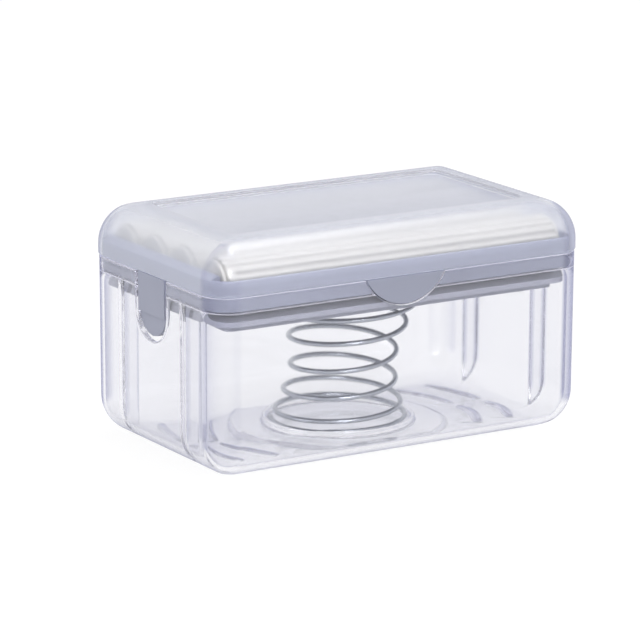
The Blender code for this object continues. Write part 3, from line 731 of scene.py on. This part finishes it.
@dataclass
class ClearTub:
    """The clear tub, its end fins, and the details of its floor."""

    finish: ClearPlastic
    half: tuple[float, float] = TUB_HALF
    corner: float = TUB_CORNER
    least_corner: float = 3.0
    corner_steps: int = 14
    rim: float = 52.1
    wall: float = 1.8
    wall_steps: int = 15
    wall_zone: float = 1.0
    rim_wall: float = 0.8
    ledge_round: float = 0.25
    ledge_bend: float = 0.3
    draft: float = 0.2
    edge: float = 11.5
    edge_steps: int = 14
    rim_round: float = 0.36
    floor_rings: int = 6
    notch_half_chord: float = 13.0
    notch_radius: float = 14.48
    notch_centre: float = 58.48
    notch_columns: int = 41
    notch_margin: float = 0.5
    end_notch_radius: float = 8.65
    end_notch_centre: float = 42.15
    end_notch_columns: int = 33
    lip_step: float = 0.004
    end_step: float = 2.5
    side_step: float = 3.0
    fin_crest: float = 54.1
    fin_top: float = 47.6
    fin_width: float = 1.8
    fin_round: float = 0.9
    fin_sunk: float = 0.25
    fin_top_step: float = 0.4
    fin_heights: int = 30
    fin_crowding: float = 1.5
    sink_width: float = 1.9
    sink_depth: float = 0.35
    sink_columns: int = 9
    sink_top_fade: float = 2.0
    sink_foot_fade: float = 3.0
    detail_sunk: float = 0.4
    detail_edge_sunk: float = 0.02
    disc_radius: float = 32.0
    disc_rise: float = 0.8
    disc_slope: float = 3.0
    disc_half_width: float = 27.2
    disc_columns: int = 160
    disc_rings: int = 12
    ring_radius: float = 20.7
    ring_wall: float = 1.2
    ring_rise: float = 2.2
    ring_sunk: float = 0.05
    ring_foot: float = 0.5
    ring_foot_round: float = 0.1
    ring_foot_rise: float = 0.45
    ring_columns: int = 128
    ring_top_steps: int = 9
    bead_width: float = 4.2
    bead_rise: float = 0.7
    bead_near: float = 3.2
    bead_far: float = 20.5
    bead_least: float = 0.02
    bead_steps: int = 30
    bead_columns: int = 15

    def columns(self) -> Columns:
        """Columns that are close together at the notches and the sink lines.

        Returns:
            The columns of the wall.
        """
        straight = (self.half[0] - self.corner, self.half[1] - self.corner)
        swing = np.sin(np.linspace(-QUARTER, QUARTER, self.end_notch_columns))
        lips = np.array([-1, 1]) * (self.end_notch_radius + self.lip_step)
        sinks = np.linspace(-self.sink_width, self.sink_width, self.sink_columns)
        even = even_places(straight[1], self.end_step)
        ends = [even, swing * self.end_notch_radius, lips, sinks - FIN_PLACE, sinks + FIN_PLACE]
        ends = np.unique(np.round(np.concatenate(ends), 4))
        reach = math.asin(self.notch_half_chord / self.notch_radius)
        round_part = np.sin(np.linspace(-reach, reach, self.notch_columns)) * self.notch_radius
        plain = even_places(straight[0], self.side_step)
        beside = plain[abs(plain) > self.notch_half_chord + self.notch_margin]
        front = np.sort(np.concatenate([beside, round_part]))
        return Columns.around(straight, (ends, plain, ends, front), self.corner_steps)

    def rim_heights(self, across: np.ndarray, along: np.ndarray) -> np.ndarray:
        """The rim's height over each column, lowered by the circles of the notches.

        Args:
            across: X of the columns.
            along: Y of the columns.

        Returns:
            One height a column.
        """
        on_front = (along < self.wall_zone - self.half[1]) & (abs(across) < self.notch_half_chord)
        circle = np.minimum(bowl(self.notch_centre, self.notch_radius, across), self.rim)
        heights = np.where(on_front, circle, self.rim)
        on_end = abs(across) > self.half[0] - self.wall_zone
        slot = on_end & (abs(along) <= self.end_notch_radius + self.lip_step / 4)
        return np.where(slot, bowl(self.end_notch_centre, self.end_notch_radius, along), heights)

    def wall_rings(self, top: np.ndarray, depth: float) -> tuple[np.ndarray, np.ndarray]:
        """Rings from the rim to the floor, at a depth inside the outer surface.

        The upright wall leans in by the draft; the edge is a circle about its own centre, so a
        ring at an angle has inset = edge - (edge - depth) * cos and height = edge - the same * sin.

        Args:
            top: The height of the wall's top over each column.
            depth: How far inside the outer surface the rings lie.

        Returns:
            Insets and heights, shaped (rings, columns).
        """
        shares = np.linspace(0, 1, self.wall_steps)[:, None]
        heights = top + (self.edge - top) * shares
        insets = self.draft * (self.rim - heights) / (self.rim - self.edge) + depth
        cosine, sine = quarter_round(self.edge_steps)
        radius = self.edge - depth
        flat = np.zeros_like(top)
        round_inset = (self.draft + self.edge - radius * cosine)[1:, None] + flat
        round_height = (self.edge - radius * sine)[1:, None] + flat
        return np.concatenate([insets, round_inset]), np.concatenate([heights, round_height])

    def shell(self) -> bpy.types.Mesh:
        """The wall and floor as one closed surface, from the base over the rim to the inside.

        Returns:
            The mesh.
        """
        columns = self.columns()
        outline = columns.rings(self.half, np.zeros((1, 1)), np.full((1, 1), self.corner))[0]
        rim = self.rim_heights(outline[:, 0], outline[:, 1])
        top = (rim - self.rim_round)[None, :]
        outer_inset, outer_height = self.wall_rings(top, 0)
        soft = self.ledge_round
        inner_inset, inner_height = self.wall_rings(np.minimum(top, LEDGE - soft), self.wall)
        cosine, sine = quarter_round(SMALL_ROUND_STEPS)
        lip_inset = self.rim_round * (1 - cosine)[1:, None] + np.zeros_like(top)
        lip_height = top + self.rim_round * sine[1:, None]
        above = np.clip((top - LEDGE) / soft, 0, 1)
        thickness = self.wall + (self.rim_wall - self.wall) * above
        bend = self.ledge_bend
        curl = above * soft * np.array([0, bend, 1])[:, None]
        step_inset = np.concatenate([thickness, thickness + curl, self.wall - curl[:0:-1]])
        rise = np.array([(self.rim - LEDGE) / 2, soft, soft * bend, 0, 0, -soft * bend])
        step_height = np.minimum(LEDGE + rise[:, None], top)
        back_inset = thickness - lip_inset[::-1]
        inset = np.concatenate([outer_inset[::-1], lip_inset, back_inset, step_inset, inner_inset])
        height = np.concatenate(
            [outer_height[::-1], lip_height, lip_height[::-1], step_height, inner_height]
        )
        inset = inset + self.sink_lines(outline, height, len(outer_inset))
        grid = columns.walls(self.half, self.corner, self.least_corner, inset, height)
        shares = np.linspace(0, 1, self.floor_rings)[1:-1, None, None]
        shrink = shares * np.array([1, 1, 0]) + np.array([0, 0, 1])
        grid = np.concatenate([grid[:1] * shrink, grid, (grid[-1:] * shrink)[::-1]])
        rings, count = grid.shape[:2]
        points = np.concatenate([grid.reshape(-1, 3), [[0, 0, 0], [0, 0, self.wall]]])
        faces = ring_faces(rings, count, loop=False, capped=False)
        base, last = rings * count, (rings - 1) * count
        for number in range(count):
            following = (number + 1) % count
            faces.append([base, following, number])
            faces.append([base + 1, last + number, last + following])
        return mesh_of("tub_shell", points, faces)

    def sink_lines(self, outline: np.ndarray, height: np.ndarray, outer_rings: int) -> np.ndarray:
        """The shallow grooves of the end walls behind the fins: a smooth hump across each.

        Args:
            outline: X and Y of the columns.
            height: The rings' heights.
            outer_rings: How many rings, from the first on, lie on the outer surface.

        Returns:
            What the grooves add to the insets, shaped like the heights.
        """
        distance = (abs(outline[:, 1]) - FIN_PLACE) / (self.sink_width / 2)
        groove = eased(1 - distance**2) * (abs(outline[:, 0]) > self.half[0] - self.wall_zone)
        outer = (np.arange(len(height)) < outer_rings)[:, None]
        below_top = np.clip((self.fin_top - height) / self.sink_top_fade, 0, 1)
        above_foot = np.clip(height / self.sink_foot_fade, 0, 1)
        return groove * outer * below_top * above_foot * self.sink_depth

    def fin(self, end: End, side: int) -> bpy.types.Mesh:
        """An upright fin: at each height its section is half an ellipse from the wall to its crest.

        Args:
            end: The end wall that it stands on.
            side: The sign of its Y.

        Returns:
            The mesh.
        """
        inner_edge = self.edge - self.wall
        centre = self.half[0] - self.draft - self.edge
        lowest = self.edge - math.sqrt(inner_edge**2 - (self.fin_crest - centre) ** 2)
        way = np.linspace(0, 1, self.fin_heights) ** self.fin_crowding
        heights = lowest + (self.fin_top - lowest) * way
        below = np.clip(self.edge - heights, 0, inner_edge)
        root = centre + np.sqrt(inner_edge**2 - below**2) + self.fin_sunk
        cosine, sine = quarter_round(6)
        around = np.concatenate([sine[:-1], [1], sine[-2::-1]])
        crest = np.full_like(heights, self.fin_crest)
        crest[-1] += self.fin_top_step
        tip = np.minimum(root - crest, self.fin_round)
        reach = crest[:, None] + tip[:, None] * (1 - around)
        x = np.concatenate([root[:, None], reach, root[:, None]], axis=1) * end.value
        across = np.concatenate([[-1.0], -cosine, cosine[-2::-1], [1.0]]) * self.fin_width / 2
        return mesh_of_rings("fin", lifted(x, across + side * FIN_PLACE, heights))

    def disc(self) -> bpy.types.Mesh:
        """The raised disc of the floor: a circle cut straight at both sides.

        Its edge climbs by rise * (1 - cos(pi * way)) / 2 over the width of its slope.

        Returns:
            The mesh.
        """
        angles = np.linspace(0, TURN, self.disc_columns, endpoint=False)
        x = self.disc_radius * np.cos(angles)
        y = np.clip(self.disc_radius * np.sin(angles), -self.disc_half_width, self.disc_half_width)
        way = np.linspace(0, 1, self.disc_rings)
        climb = self.disc_rise * (1 - np.cos(math.pi * way)) / 2 - self.detail_edge_sunk * (1 - way)
        heights = np.concatenate([[-self.detail_sunk], climb]) + self.wall
        scale = 1 - np.concatenate([[0.0], self.disc_slope * way])[:, None] / self.disc_radius
        return mesh_of_rings("disc", lifted(scale * x, scale * y, heights))

    def seat_ring(self) -> bpy.types.Mesh:
        """The ring that holds the spring's foot: a wall with a round top, turned about Z.

        Returns:
            The mesh.
        """
        angles = np.linspace(0, TURN, self.ring_columns, endpoint=False)
        half_wall = self.ring_wall / 2
        foot = self.wall + self.disc_rise - self.ring_sunk
        top = self.wall + self.disc_rise + self.ring_rise - half_wall
        arc = np.linspace(0, math.pi, self.ring_top_steps)
        radius = self.ring_radius + half_wall + half_wall * np.cos(arc)
        flare = np.array([self.ring_foot, self.ring_foot_round])
        radius = np.concatenate([radius[0] + flare, radius, radius[-1] - flare[::-1]])[:, None]
        rise = np.array([foot, foot + self.ring_foot_rise])
        height = np.concatenate([rise, top + half_wall * np.sin(arc), rise[::-1]])
        grid = lifted(radius * np.cos(angles), radius * np.sin(angles), height)
        return mesh_of_rings("seat_ring", grid, loop=True)

    def beads(self) -> list[bpy.types.Mesh]:
        """The bent beads of the floor, carried along circles about the middle.

        Across a bead the rise is rise * (1 + cos(pi * place)) / 2 from -1 to 1, and both width and
        rise shrink towards its ends by sqrt(1 - way^4).

        Returns:
            Eight meshes, two in each quarter of the floor.
        """
        beads = []
        place = np.linspace(-1, 1, self.bead_columns)
        profile = (1 + np.cos(math.pi * place)) / 2
        way = np.sin(np.linspace(-QUARTER, QUARTER, self.bead_steps))[:, None]
        size = np.sqrt(np.clip(1 - way**4, self.bead_least**2, 1))
        sunk = self.detail_edge_sunk
        height = self.wall - sunk + size * (profile * self.bead_rise + sunk)
        height = np.pad(height, ((0, 0), (1, 1)), constant_values=self.wall - self.detail_sunk)
        for radius in BEAD_RADII:
            start = math.asin((self.bead_near - self.bead_width / 2) / radius)
            stop = math.asin((self.bead_far + self.bead_width / 2) / radius)
            angle = (start + stop) / 2 + (stop - start) / 2 * way
            reach = np.pad(radius + size * place * self.bead_width / 2, ((0, 0), (1, 1)), "edge")
            x, y = reach * np.cos(angle), reach * np.sin(angle)
            beads += [
                mesh_of_rings("bead", np.stack([side_x * x, side_y * y, height], axis=2))
                for side_x in (1, -1)
                for side_y in (1, -1)
            ]
        return beads

    def build(self) -> None:
        """Make the shell with its fins and floor details as one closed mesh."""
        fins = [self.fin(end, side) for end in End for side in (-1, 1)]
        whole = united(self.shell(), [*fins, self.disc(), self.seat_ring(), *self.beads()])
        Piece("tub_shell", "tub_body", Slot.TUB, "tub").from_mesh(whole, self.finish.make())


# Lid


@dataclass
class ClearLid:
    """The clear lift-off lid with its sunk panel."""

    finish: ClearPlastic
    half: tuple[float, float] = LID_HALF
    corner: float = LID_CORNER
    least_corner: float = 2.2
    corner_steps: int = 14
    side_step: float = 2.5
    foot: float = 52.4
    top: float = 67.0
    wall: float = 1.1
    edge: float = 11.7
    edge_steps: int = 16
    border: float = 1.5
    panel_depth: float = 1.6
    fillet: float = 0.35
    rim_round: float = 0.4

    def section(self, depth: float) -> tuple[np.ndarray, np.ndarray]:
        """The lid's section from the upright wall over the round edge to the panel.

        Args:
            depth: How far below the outside it lies.

        Returns:
            Insets and heights.
        """
        cosine, sine = quarter_round(self.edge_steps)
        radius = self.edge - depth
        centre = self.top - self.edge
        wall = np.linspace(self.foot + self.rim_round, centre, 4)[:-1]
        step = self.edge + self.border - depth
        high = self.top - depth
        low = high - self.panel_depth
        lip_cosine, lip_sine = quarter_round(SMALL_ROUND_STEPS)
        lip = self.fillet
        insets = [np.full_like(wall, depth), self.edge - radius * cosine]
        heights = [wall, centre + radius * sine]
        insets += [step - lip + lip * lip_sine, step + lip * (1 - lip_cosine)]
        heights += [high - lip * (1 - lip_cosine), low + lip * (1 - lip_sine)]
        return np.concatenate(insets), np.concatenate(heights)

    def build(self) -> None:
        """Make the lid as one closed surface."""
        straight = (self.half[0] - self.corner, self.half[1] - self.corner)
        sides = [even_places(straight[number % 2 == 0], self.side_step) for number in range(4)]
        columns = Columns.around(straight, sides, self.corner_steps)
        outer_inset, outer_height = self.section(0)
        inner_inset, inner_height = self.section(self.wall)
        cosine, sine = quarter_round(SMALL_ROUND_STEPS)
        lip_inset = self.rim_round * (1 - cosine)[1:]
        lip_height = self.foot + self.rim_round * (1 - sine)[1:]
        back_inset = self.wall - lip_inset[::-1]
        inset = np.concatenate([outer_inset[::-1], lip_inset, back_inset, inner_inset])
        height = np.concatenate([outer_height[::-1], lip_height, lip_height[::-1], inner_height])
        grid = columns.walls(
            self.half, self.corner, self.least_corner, inset[:, None], height[:, None]
        )
        Piece("lid_shell", "lid_body", Slot.LID, "lid").from_rings(grid, self.finish.make())


# Rollers


@dataclass
class RollerRow:
    """Four ridged ivory rollers with an end plug and stub axle in each end."""

    finish: MouldedPlastic
    rollers: int = 4
    ridges: int = 20
    ridge_depth: float = 0.55
    ridge_steepness: float = 2.2
    wall: float = 1.7
    end_round: float = 0.5
    plug_round: float = 0.15
    samples: int = 12

    def make_tube(self, name: str, body: str, material: bpy.types.Material) -> None:
        """Make one ridged tube.

        The outside is radius - depth * (1 - w) / 2 with w = tanh(steepness * cos(ridges * angle))
        scaled to reach 1, and the ends are rounded off.

        Args:
            name: The roller's CAD node.
            body: The body that it rides on.
            material: Its finish.
        """
        low, high = (np.array(corner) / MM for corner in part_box(name))
        middle = (low + high) / 2
        radius = (high[2] - low[2]) / 2
        half = (high[0] - low[0]) / 2
        count = self.ridges * self.samples
        angles = np.linspace(0, TURN, count, endpoint=False)
        steepness = self.ridge_steepness
        wave = np.tanh(steepness * np.cos(self.ridges * angles)) / math.tanh(steepness)
        outline = radius - self.ridge_depth * (1 - wave) / 2
        cosine, sine = quarter_round(SMALL_ROUND_STEPS)
        off = self.end_round * (1 - cosine)
        along = half - self.end_round * (1 - sine)
        bore = np.full(count, radius - self.wall)
        ring = np.stack([bore, *(outline - off[::-1, None]), *(outline - off[:, None]), bore])
        places = np.concatenate([[-half], -along[::-1], along, [half]])[:, None]
        turned = (places, ring * np.cos(angles), ring * np.sin(angles))
        grid = np.stack(np.broadcast_arrays(*turned), axis=2) + middle
        Piece(name + "_tube", body, Slot.ROLLER, name).from_rings(grid, material, loop=True)

    def build(self) -> None:
        """Make the tubes and dress their plugs."""
        material = self.finish.make()
        for number in range(1, self.rollers + 1):
            name = f"roller_{number}"
            body = name + "_body"
            self.make_tube(name, body, material)
            for end in End:
                node = f"{name}_plug_{end.name.lower()}"
                piece = Piece(node + "_turned", body, Slot.ROLLER, node)
                piece.softened(self.plug_round, material)


# Frame, plate and spring


@dataclass
class GreyPieces:
    """The roller frame and the soap plate, with softened edges."""

    frame_finish: MouldedPlastic
    plate_finish: MouldedPlastic
    frame_round: float = 0.18
    plate_round: float = 0.16

    def build(self) -> None:
        """Make both pieces from merged copies of their CAD nodes."""
        band = Piece("roller_frame_band", "frame_body", Slot.FRAME, "roller_frame")
        band.softened(self.frame_round, self.frame_finish.make())
        plate = Piece("soap_plate_grid", "plate_body", Slot.PLATE, "soap_plate")
        plate.softened(self.plate_round, self.plate_finish.make())


@dataclass
class WaistedSpring:
    """The waisted wire spring between the tub's floor and the soap plate."""

    finish: DrawnSteel
    wire: float = 0.75
    foot_radius: float = 19.35
    waist_share: float = 0.767
    waist_rise_share: float = 0.445
    foot_flare: float = 1.7
    head_shift: float = 2.8
    lean: float = math.radians(-31.7)
    tilt: float = math.radians(2.6)
    start: float = -0.5
    stop: float = 6.1
    close_pitch: float = 0.28
    foot_ramp: float = 1.73
    head_ramp: float = 3.31
    pitch_growth: float = 1.49
    press: float = 28.0
    points_a_turn: int = 48
    pitch_samples: int = 600
    sides: int = 14
    dome_steps: int = 4
    dome_tip: float = 0.05
    sharp_angle: float = math.radians(60)

    def heights(self, turns: np.ndarray, foot: float, head: float) -> np.ndarray:
        """Heights of the wire: its pitch grows with the way up, and closes in at both ends.

        Args:
            turns: Places along the wire, in turns.
            foot: The height of its lower end.
            head: The height of its upper end.

        Returns:
            One height a place.
        """
        fine = np.linspace(self.start, self.stop, self.pitch_samples)
        way = (fine - self.start) / (self.stop - self.start)
        close = self.close_pitch
        at_foot = close + (1 - close) * eased((fine - self.start) / self.foot_ramp)
        at_head = close + (1 - close) * eased((self.stop - fine) / self.head_ramp)
        climbed = np.cumsum((1 + self.pitch_growth * way) * at_foot * at_head)
        climbed = (climbed - climbed[0]) / (climbed[-1] - climbed[0])
        return np.interp(turns, fine, foot + (head - foot) * climbed)

    def path(self, foot: float, head: float) -> np.ndarray:
        """The wire's centre line, leaning along one direction, its middle turns tilted up.

        Args:
            foot: The height of its lower end.
            head: The height of its upper end.

        Returns:
            Points shaped (places, 3).
        """
        steps = round((self.stop - self.start) * self.points_a_turn)
        turns = np.linspace(self.start, self.stop, steps + 1)
        heights = self.heights(turns, foot, head)
        waist_height = foot + (head - foot) * self.waist_rise_share
        below = np.clip((waist_height - heights) / (waist_height - foot), 0, 1)
        above = (heights - waist_height) / (head - waist_height)
        waist = self.foot_radius * self.waist_share
        flare = below**self.foot_flare + eased(above)
        radii = waist + (self.foot_radius - waist) * flare
        angles = TURN * turns + self.lean
        climbed = (heights - foot) / (head - foot)
        shift = self.head_shift * climbed
        x = radii * np.cos(angles) + shift * math.cos(self.lean)
        y = radii * np.sin(angles) + shift * math.sin(self.lean)
        tilt = radii * np.sin(TURN * turns) * math.tan(self.tilt) * np.sin(math.pi * climbed)
        return np.stack([x, y, heights + tilt], axis=1)

    def wire_rings(self, path: np.ndarray) -> np.ndarray:
        """Circles carried along a path, shrinking round a dome at both ends.

        Args:
            path: The centre line.

        Returns:
            Points shaped (rings, sides, 3).
        """
        tangent = np.gradient(path, axis=0)
        tangent /= np.linalg.norm(tangent, axis=1, keepdims=True)
        side = np.cross(tangent, [0, 0, 1.0])
        side /= np.linalg.norm(side, axis=1, keepdims=True)
        over = np.cross(side, tangent)
        steps = self.dome_steps
        cosine, sine = quarter_round(steps)
        run = self.wire * sine[1:, None]
        first, last = path[0] - tangent[0] * run[::-1], path[-1] + tangent[-1] * run
        path = np.concatenate([first, path, last])
        side, over = (np.pad(axis, ((steps, steps), (0, 0)), "edge") for axis in (side, over))
        size = np.concatenate([cosine[:0:-1], np.ones(len(path) - 2 * steps), cosine[1:]])
        size = np.maximum(size, self.dome_tip) * self.wire
        angles = np.linspace(0, TURN, self.sides, endpoint=False)[None, :, None]
        ring = side[:, None] * np.cos(angles) + over[:, None] * np.sin(angles)
        return path[:, None] + ring * size[:, None, None]

    def build(self) -> None:
        """Make the wire and give it a mesh of its own."""
        low, high = (np.array(corner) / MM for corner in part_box("spring"))
        grid = self.wire_rings(self.path(low[2] + self.wire, high[2] - self.wire))
        piece = Piece("spring_wire", "tub_body", Slot.SPRING, "spring", self.sharp_angle)
        spring = piece.from_rings(grid, self.finish.make())
        self.map_wire(spring.data)
        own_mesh(spring)

    def map_wire(self, mesh: bpy.types.Mesh) -> None:
        """Give the wire a UV map from its points' numbers: U along it in turns, V round it.

        Args:
            mesh: The wire's mesh, its points numbered ring by ring.
        """
        layer = mesh.uv_layers.new(name="wire")
        corners = np.empty(len(mesh.loops), dtype=np.int32)
        mesh.loops.foreach_get("vertex_index", corners)
        along = corners // self.sides / self.points_a_turn
        around = corners % self.sides / self.sides
        around = np.where(around > 0.5, 1 - around, around) * 2
        layer.data.foreach_set("uv", np.stack([along, around], axis=1).ravel().astype(np.float32))


# Studio


@dataclass(frozen=True)
class Lamp:
    """A soft rectangular lamp that looks at the box's middle."""

    name: str
    place: Triple
    size: tuple[float, float]
    power: float
    aim: Triple = (0, 0, 40)

    def add(self) -> None:
        """Link the lamp to the scene."""
        data = bpy.data.lights.new(self.name, "AREA")
        data.shape = "RECTANGLE"
        data.size, data.size_y = (length * MM for length in self.size)
        data.energy = self.power
        lamp = bpy.data.objects.new(self.name, data)
        lamp.location = Vector(self.place) * MM
        aim = Vector(self.aim) * MM - lamp.location
        lamp.rotation_euler = aim.to_track_quat("-Z", "Y").to_euler()
        bpy.context.scene.collection.objects.link(lamp)


@dataclass
class Studio:
    """The camera of the photograph, the white room and its lamps."""

    camera_place: Triple = (-573.69, -918.48, 297.33)
    camera_forward: Triple = (0.5108, 0.8261, -0.2380)
    camera_roll: float = math.radians(0.28)
    clip: tuple[float, float] = (50.0, 50000.0)
    focal_pixels: float = 3924.0
    frame_pixels: float = 640.0
    sensor: float = 36.0
    floor_reach: float = 6000.0
    floor_depth: float = 0.2
    floor_colour: Triple = (0.9, 0.9, 0.91)
    glow: float = 1.1
    glow_share: float = 0.8
    ambient: float = 0.60
    mirrored_share: float = 0.45
    bounces: int = 256
    lamps: tuple[Lamp, ...] = (
        Lamp("overhead_lamp", (150, -100, 900), (500, 260), 2.4),
        Lamp("front_lamp", (-300, -800, 420), (420, 160), 2.0),
        Lamp("left_lamp", (-900, 100, 420), (500, 900), 1.5),
    )

    def add_camera(self) -> None:
        """Add a long lens at the place and angle that were fitted to the photograph."""
        data = bpy.data.cameras.new("camera")
        data.sensor_width = self.sensor
        data.lens = self.focal_pixels / self.frame_pixels * self.sensor
        data.clip_start, data.clip_end = (length * MM for length in self.clip)
        forward = Vector(self.camera_forward).normalized()
        right = forward.cross(Vector((0, 0, 1))).normalized()
        up = right.cross(forward)
        cosine, sine = math.cos(self.camera_roll), math.sin(self.camera_roll)
        axes = Matrix((right * cosine + up * sine, up * cosine - right * sine, -forward))
        place = Matrix.Translation(Vector(self.camera_place) * MM)
        camera = bpy.data.objects.new("camera", data)
        camera.matrix_world = place @ axes.transposed().to_4x4()
        bpy.context.scene.collection.objects.link(camera)
        bpy.context.scene.camera = camera

    def seen_white(self, recipe: Recipe) -> Field:
        """Where the room looks white.

        Args:
            recipe: The nodes that the value is added to.

        Returns:
            1 for rays from the camera and through glass, less for mirrored ones, else 0.
        """
        path = recipe.node("ShaderNodeLightPath")
        names = ("Is Camera Ray", "Is Glossy Ray", "Is Transmission Ray")
        camera, glossy, through = (Field(recipe, path.outputs[name]) for name in names)
        return camera.at_least(glossy * self.mirrored_share).at_least(through)

    def add_floor(self) -> None:
        """Add a white floor that keeps the box's shadow."""
        recipe = Recipe.named("white_floor")
        matte = recipe.node("ShaderNodeBsdfDiffuse", {}, {"Color": (*self.floor_colour, 1.0)})
        glow = recipe.node("ShaderNodeEmission", {}, {"Color": (1, 1, 1, 1), "Strength": self.glow})
        share = self.seen_white(recipe) * self.glow_share
        material = recipe.finish(recipe.mixed(share, matte.outputs[0], glow.outputs[0]))
        reach = self.floor_reach * MM
        mesh = bpy.data.meshes.new("floor")
        corners = [(-reach, -reach, 0), (reach, -reach, 0), (reach, reach, 0), (-reach, reach, 0)]
        mesh.from_pydata(corners, [], [(0, 1, 2, 3)])
        mesh.materials.append(material)
        floor = bpy.data.objects.new("floor", mesh)
        floor.location.z = -self.floor_depth * MM
        bpy.context.scene.collection.objects.link(floor)

    def add_world(self) -> None:
        """Add a white room, at full white where it is seen and softer where it lights."""
        world = bpy.data.worlds.new("white_room")
        bpy.context.scene.world = world
        recipe = Recipe(world)
        strength = self.seen_white(recipe) * (1 - self.ambient) + self.ambient
        inputs = {"Color": (1, 1, 1, 1), "Strength": strength}
        back = recipe.node("ShaderNodeBackground", {}, inputs)
        recipe.node("ShaderNodeOutputWorld", {}, {"Surface": back.outputs[0]})

    def build(self) -> None:
        """Set up the room, the lamps, the camera and the plain view transform."""
        self.add_camera()
        self.add_floor()
        self.add_world()
        for lamp in self.lamps:
            lamp.add()
        scene = bpy.context.scene
        scene.view_settings.view_transform = "Standard"
        scene.cycles.max_bounces = self.bounces
        scene.cycles.glossy_bounces = self.bounces
        scene.cycles.transmission_bounces = self.bounces
        scene.cycles.transparent_max_bounces = self.bounces


def main() -> None:
    """Build the box from the ground up."""
    logging.basicConfig(level=logging.INFO, format="%(name)s %(message)s")
    ClearTub(TubPlastic("clear_tub_finish")).build()
    lid_finish = ClearPlastic(
        "clear_lid_finish",
        half=LID_HALF,
        corner=LID_CORNER,
        milk_colour=(0.79, 0.83, 0.96),
        milk_share=0.42,
        milk_power=0.65,
        roughness=0.21,
    )
    ClearLid(lid_finish).build()
    RollerRow(MouldedPlastic("ivory", (0.61, 0.60, 0.575), (0.57, 0.56, 0.535), 0.5)).build()
    GreyPieces(
        MouldedPlastic("frame_grey", (0.345, 0.36, 0.45), (0.32, 0.335, 0.425), 0.42),
        MouldedPlastic("plate_grey", (0.44, 0.45, 0.53), (0.41, 0.42, 0.50), 0.42),
    ).build()
    WaistedSpring(DrawnSteel("drawn_steel")).build()
    Studio().build()


if __name__ == "__main__":
    main()
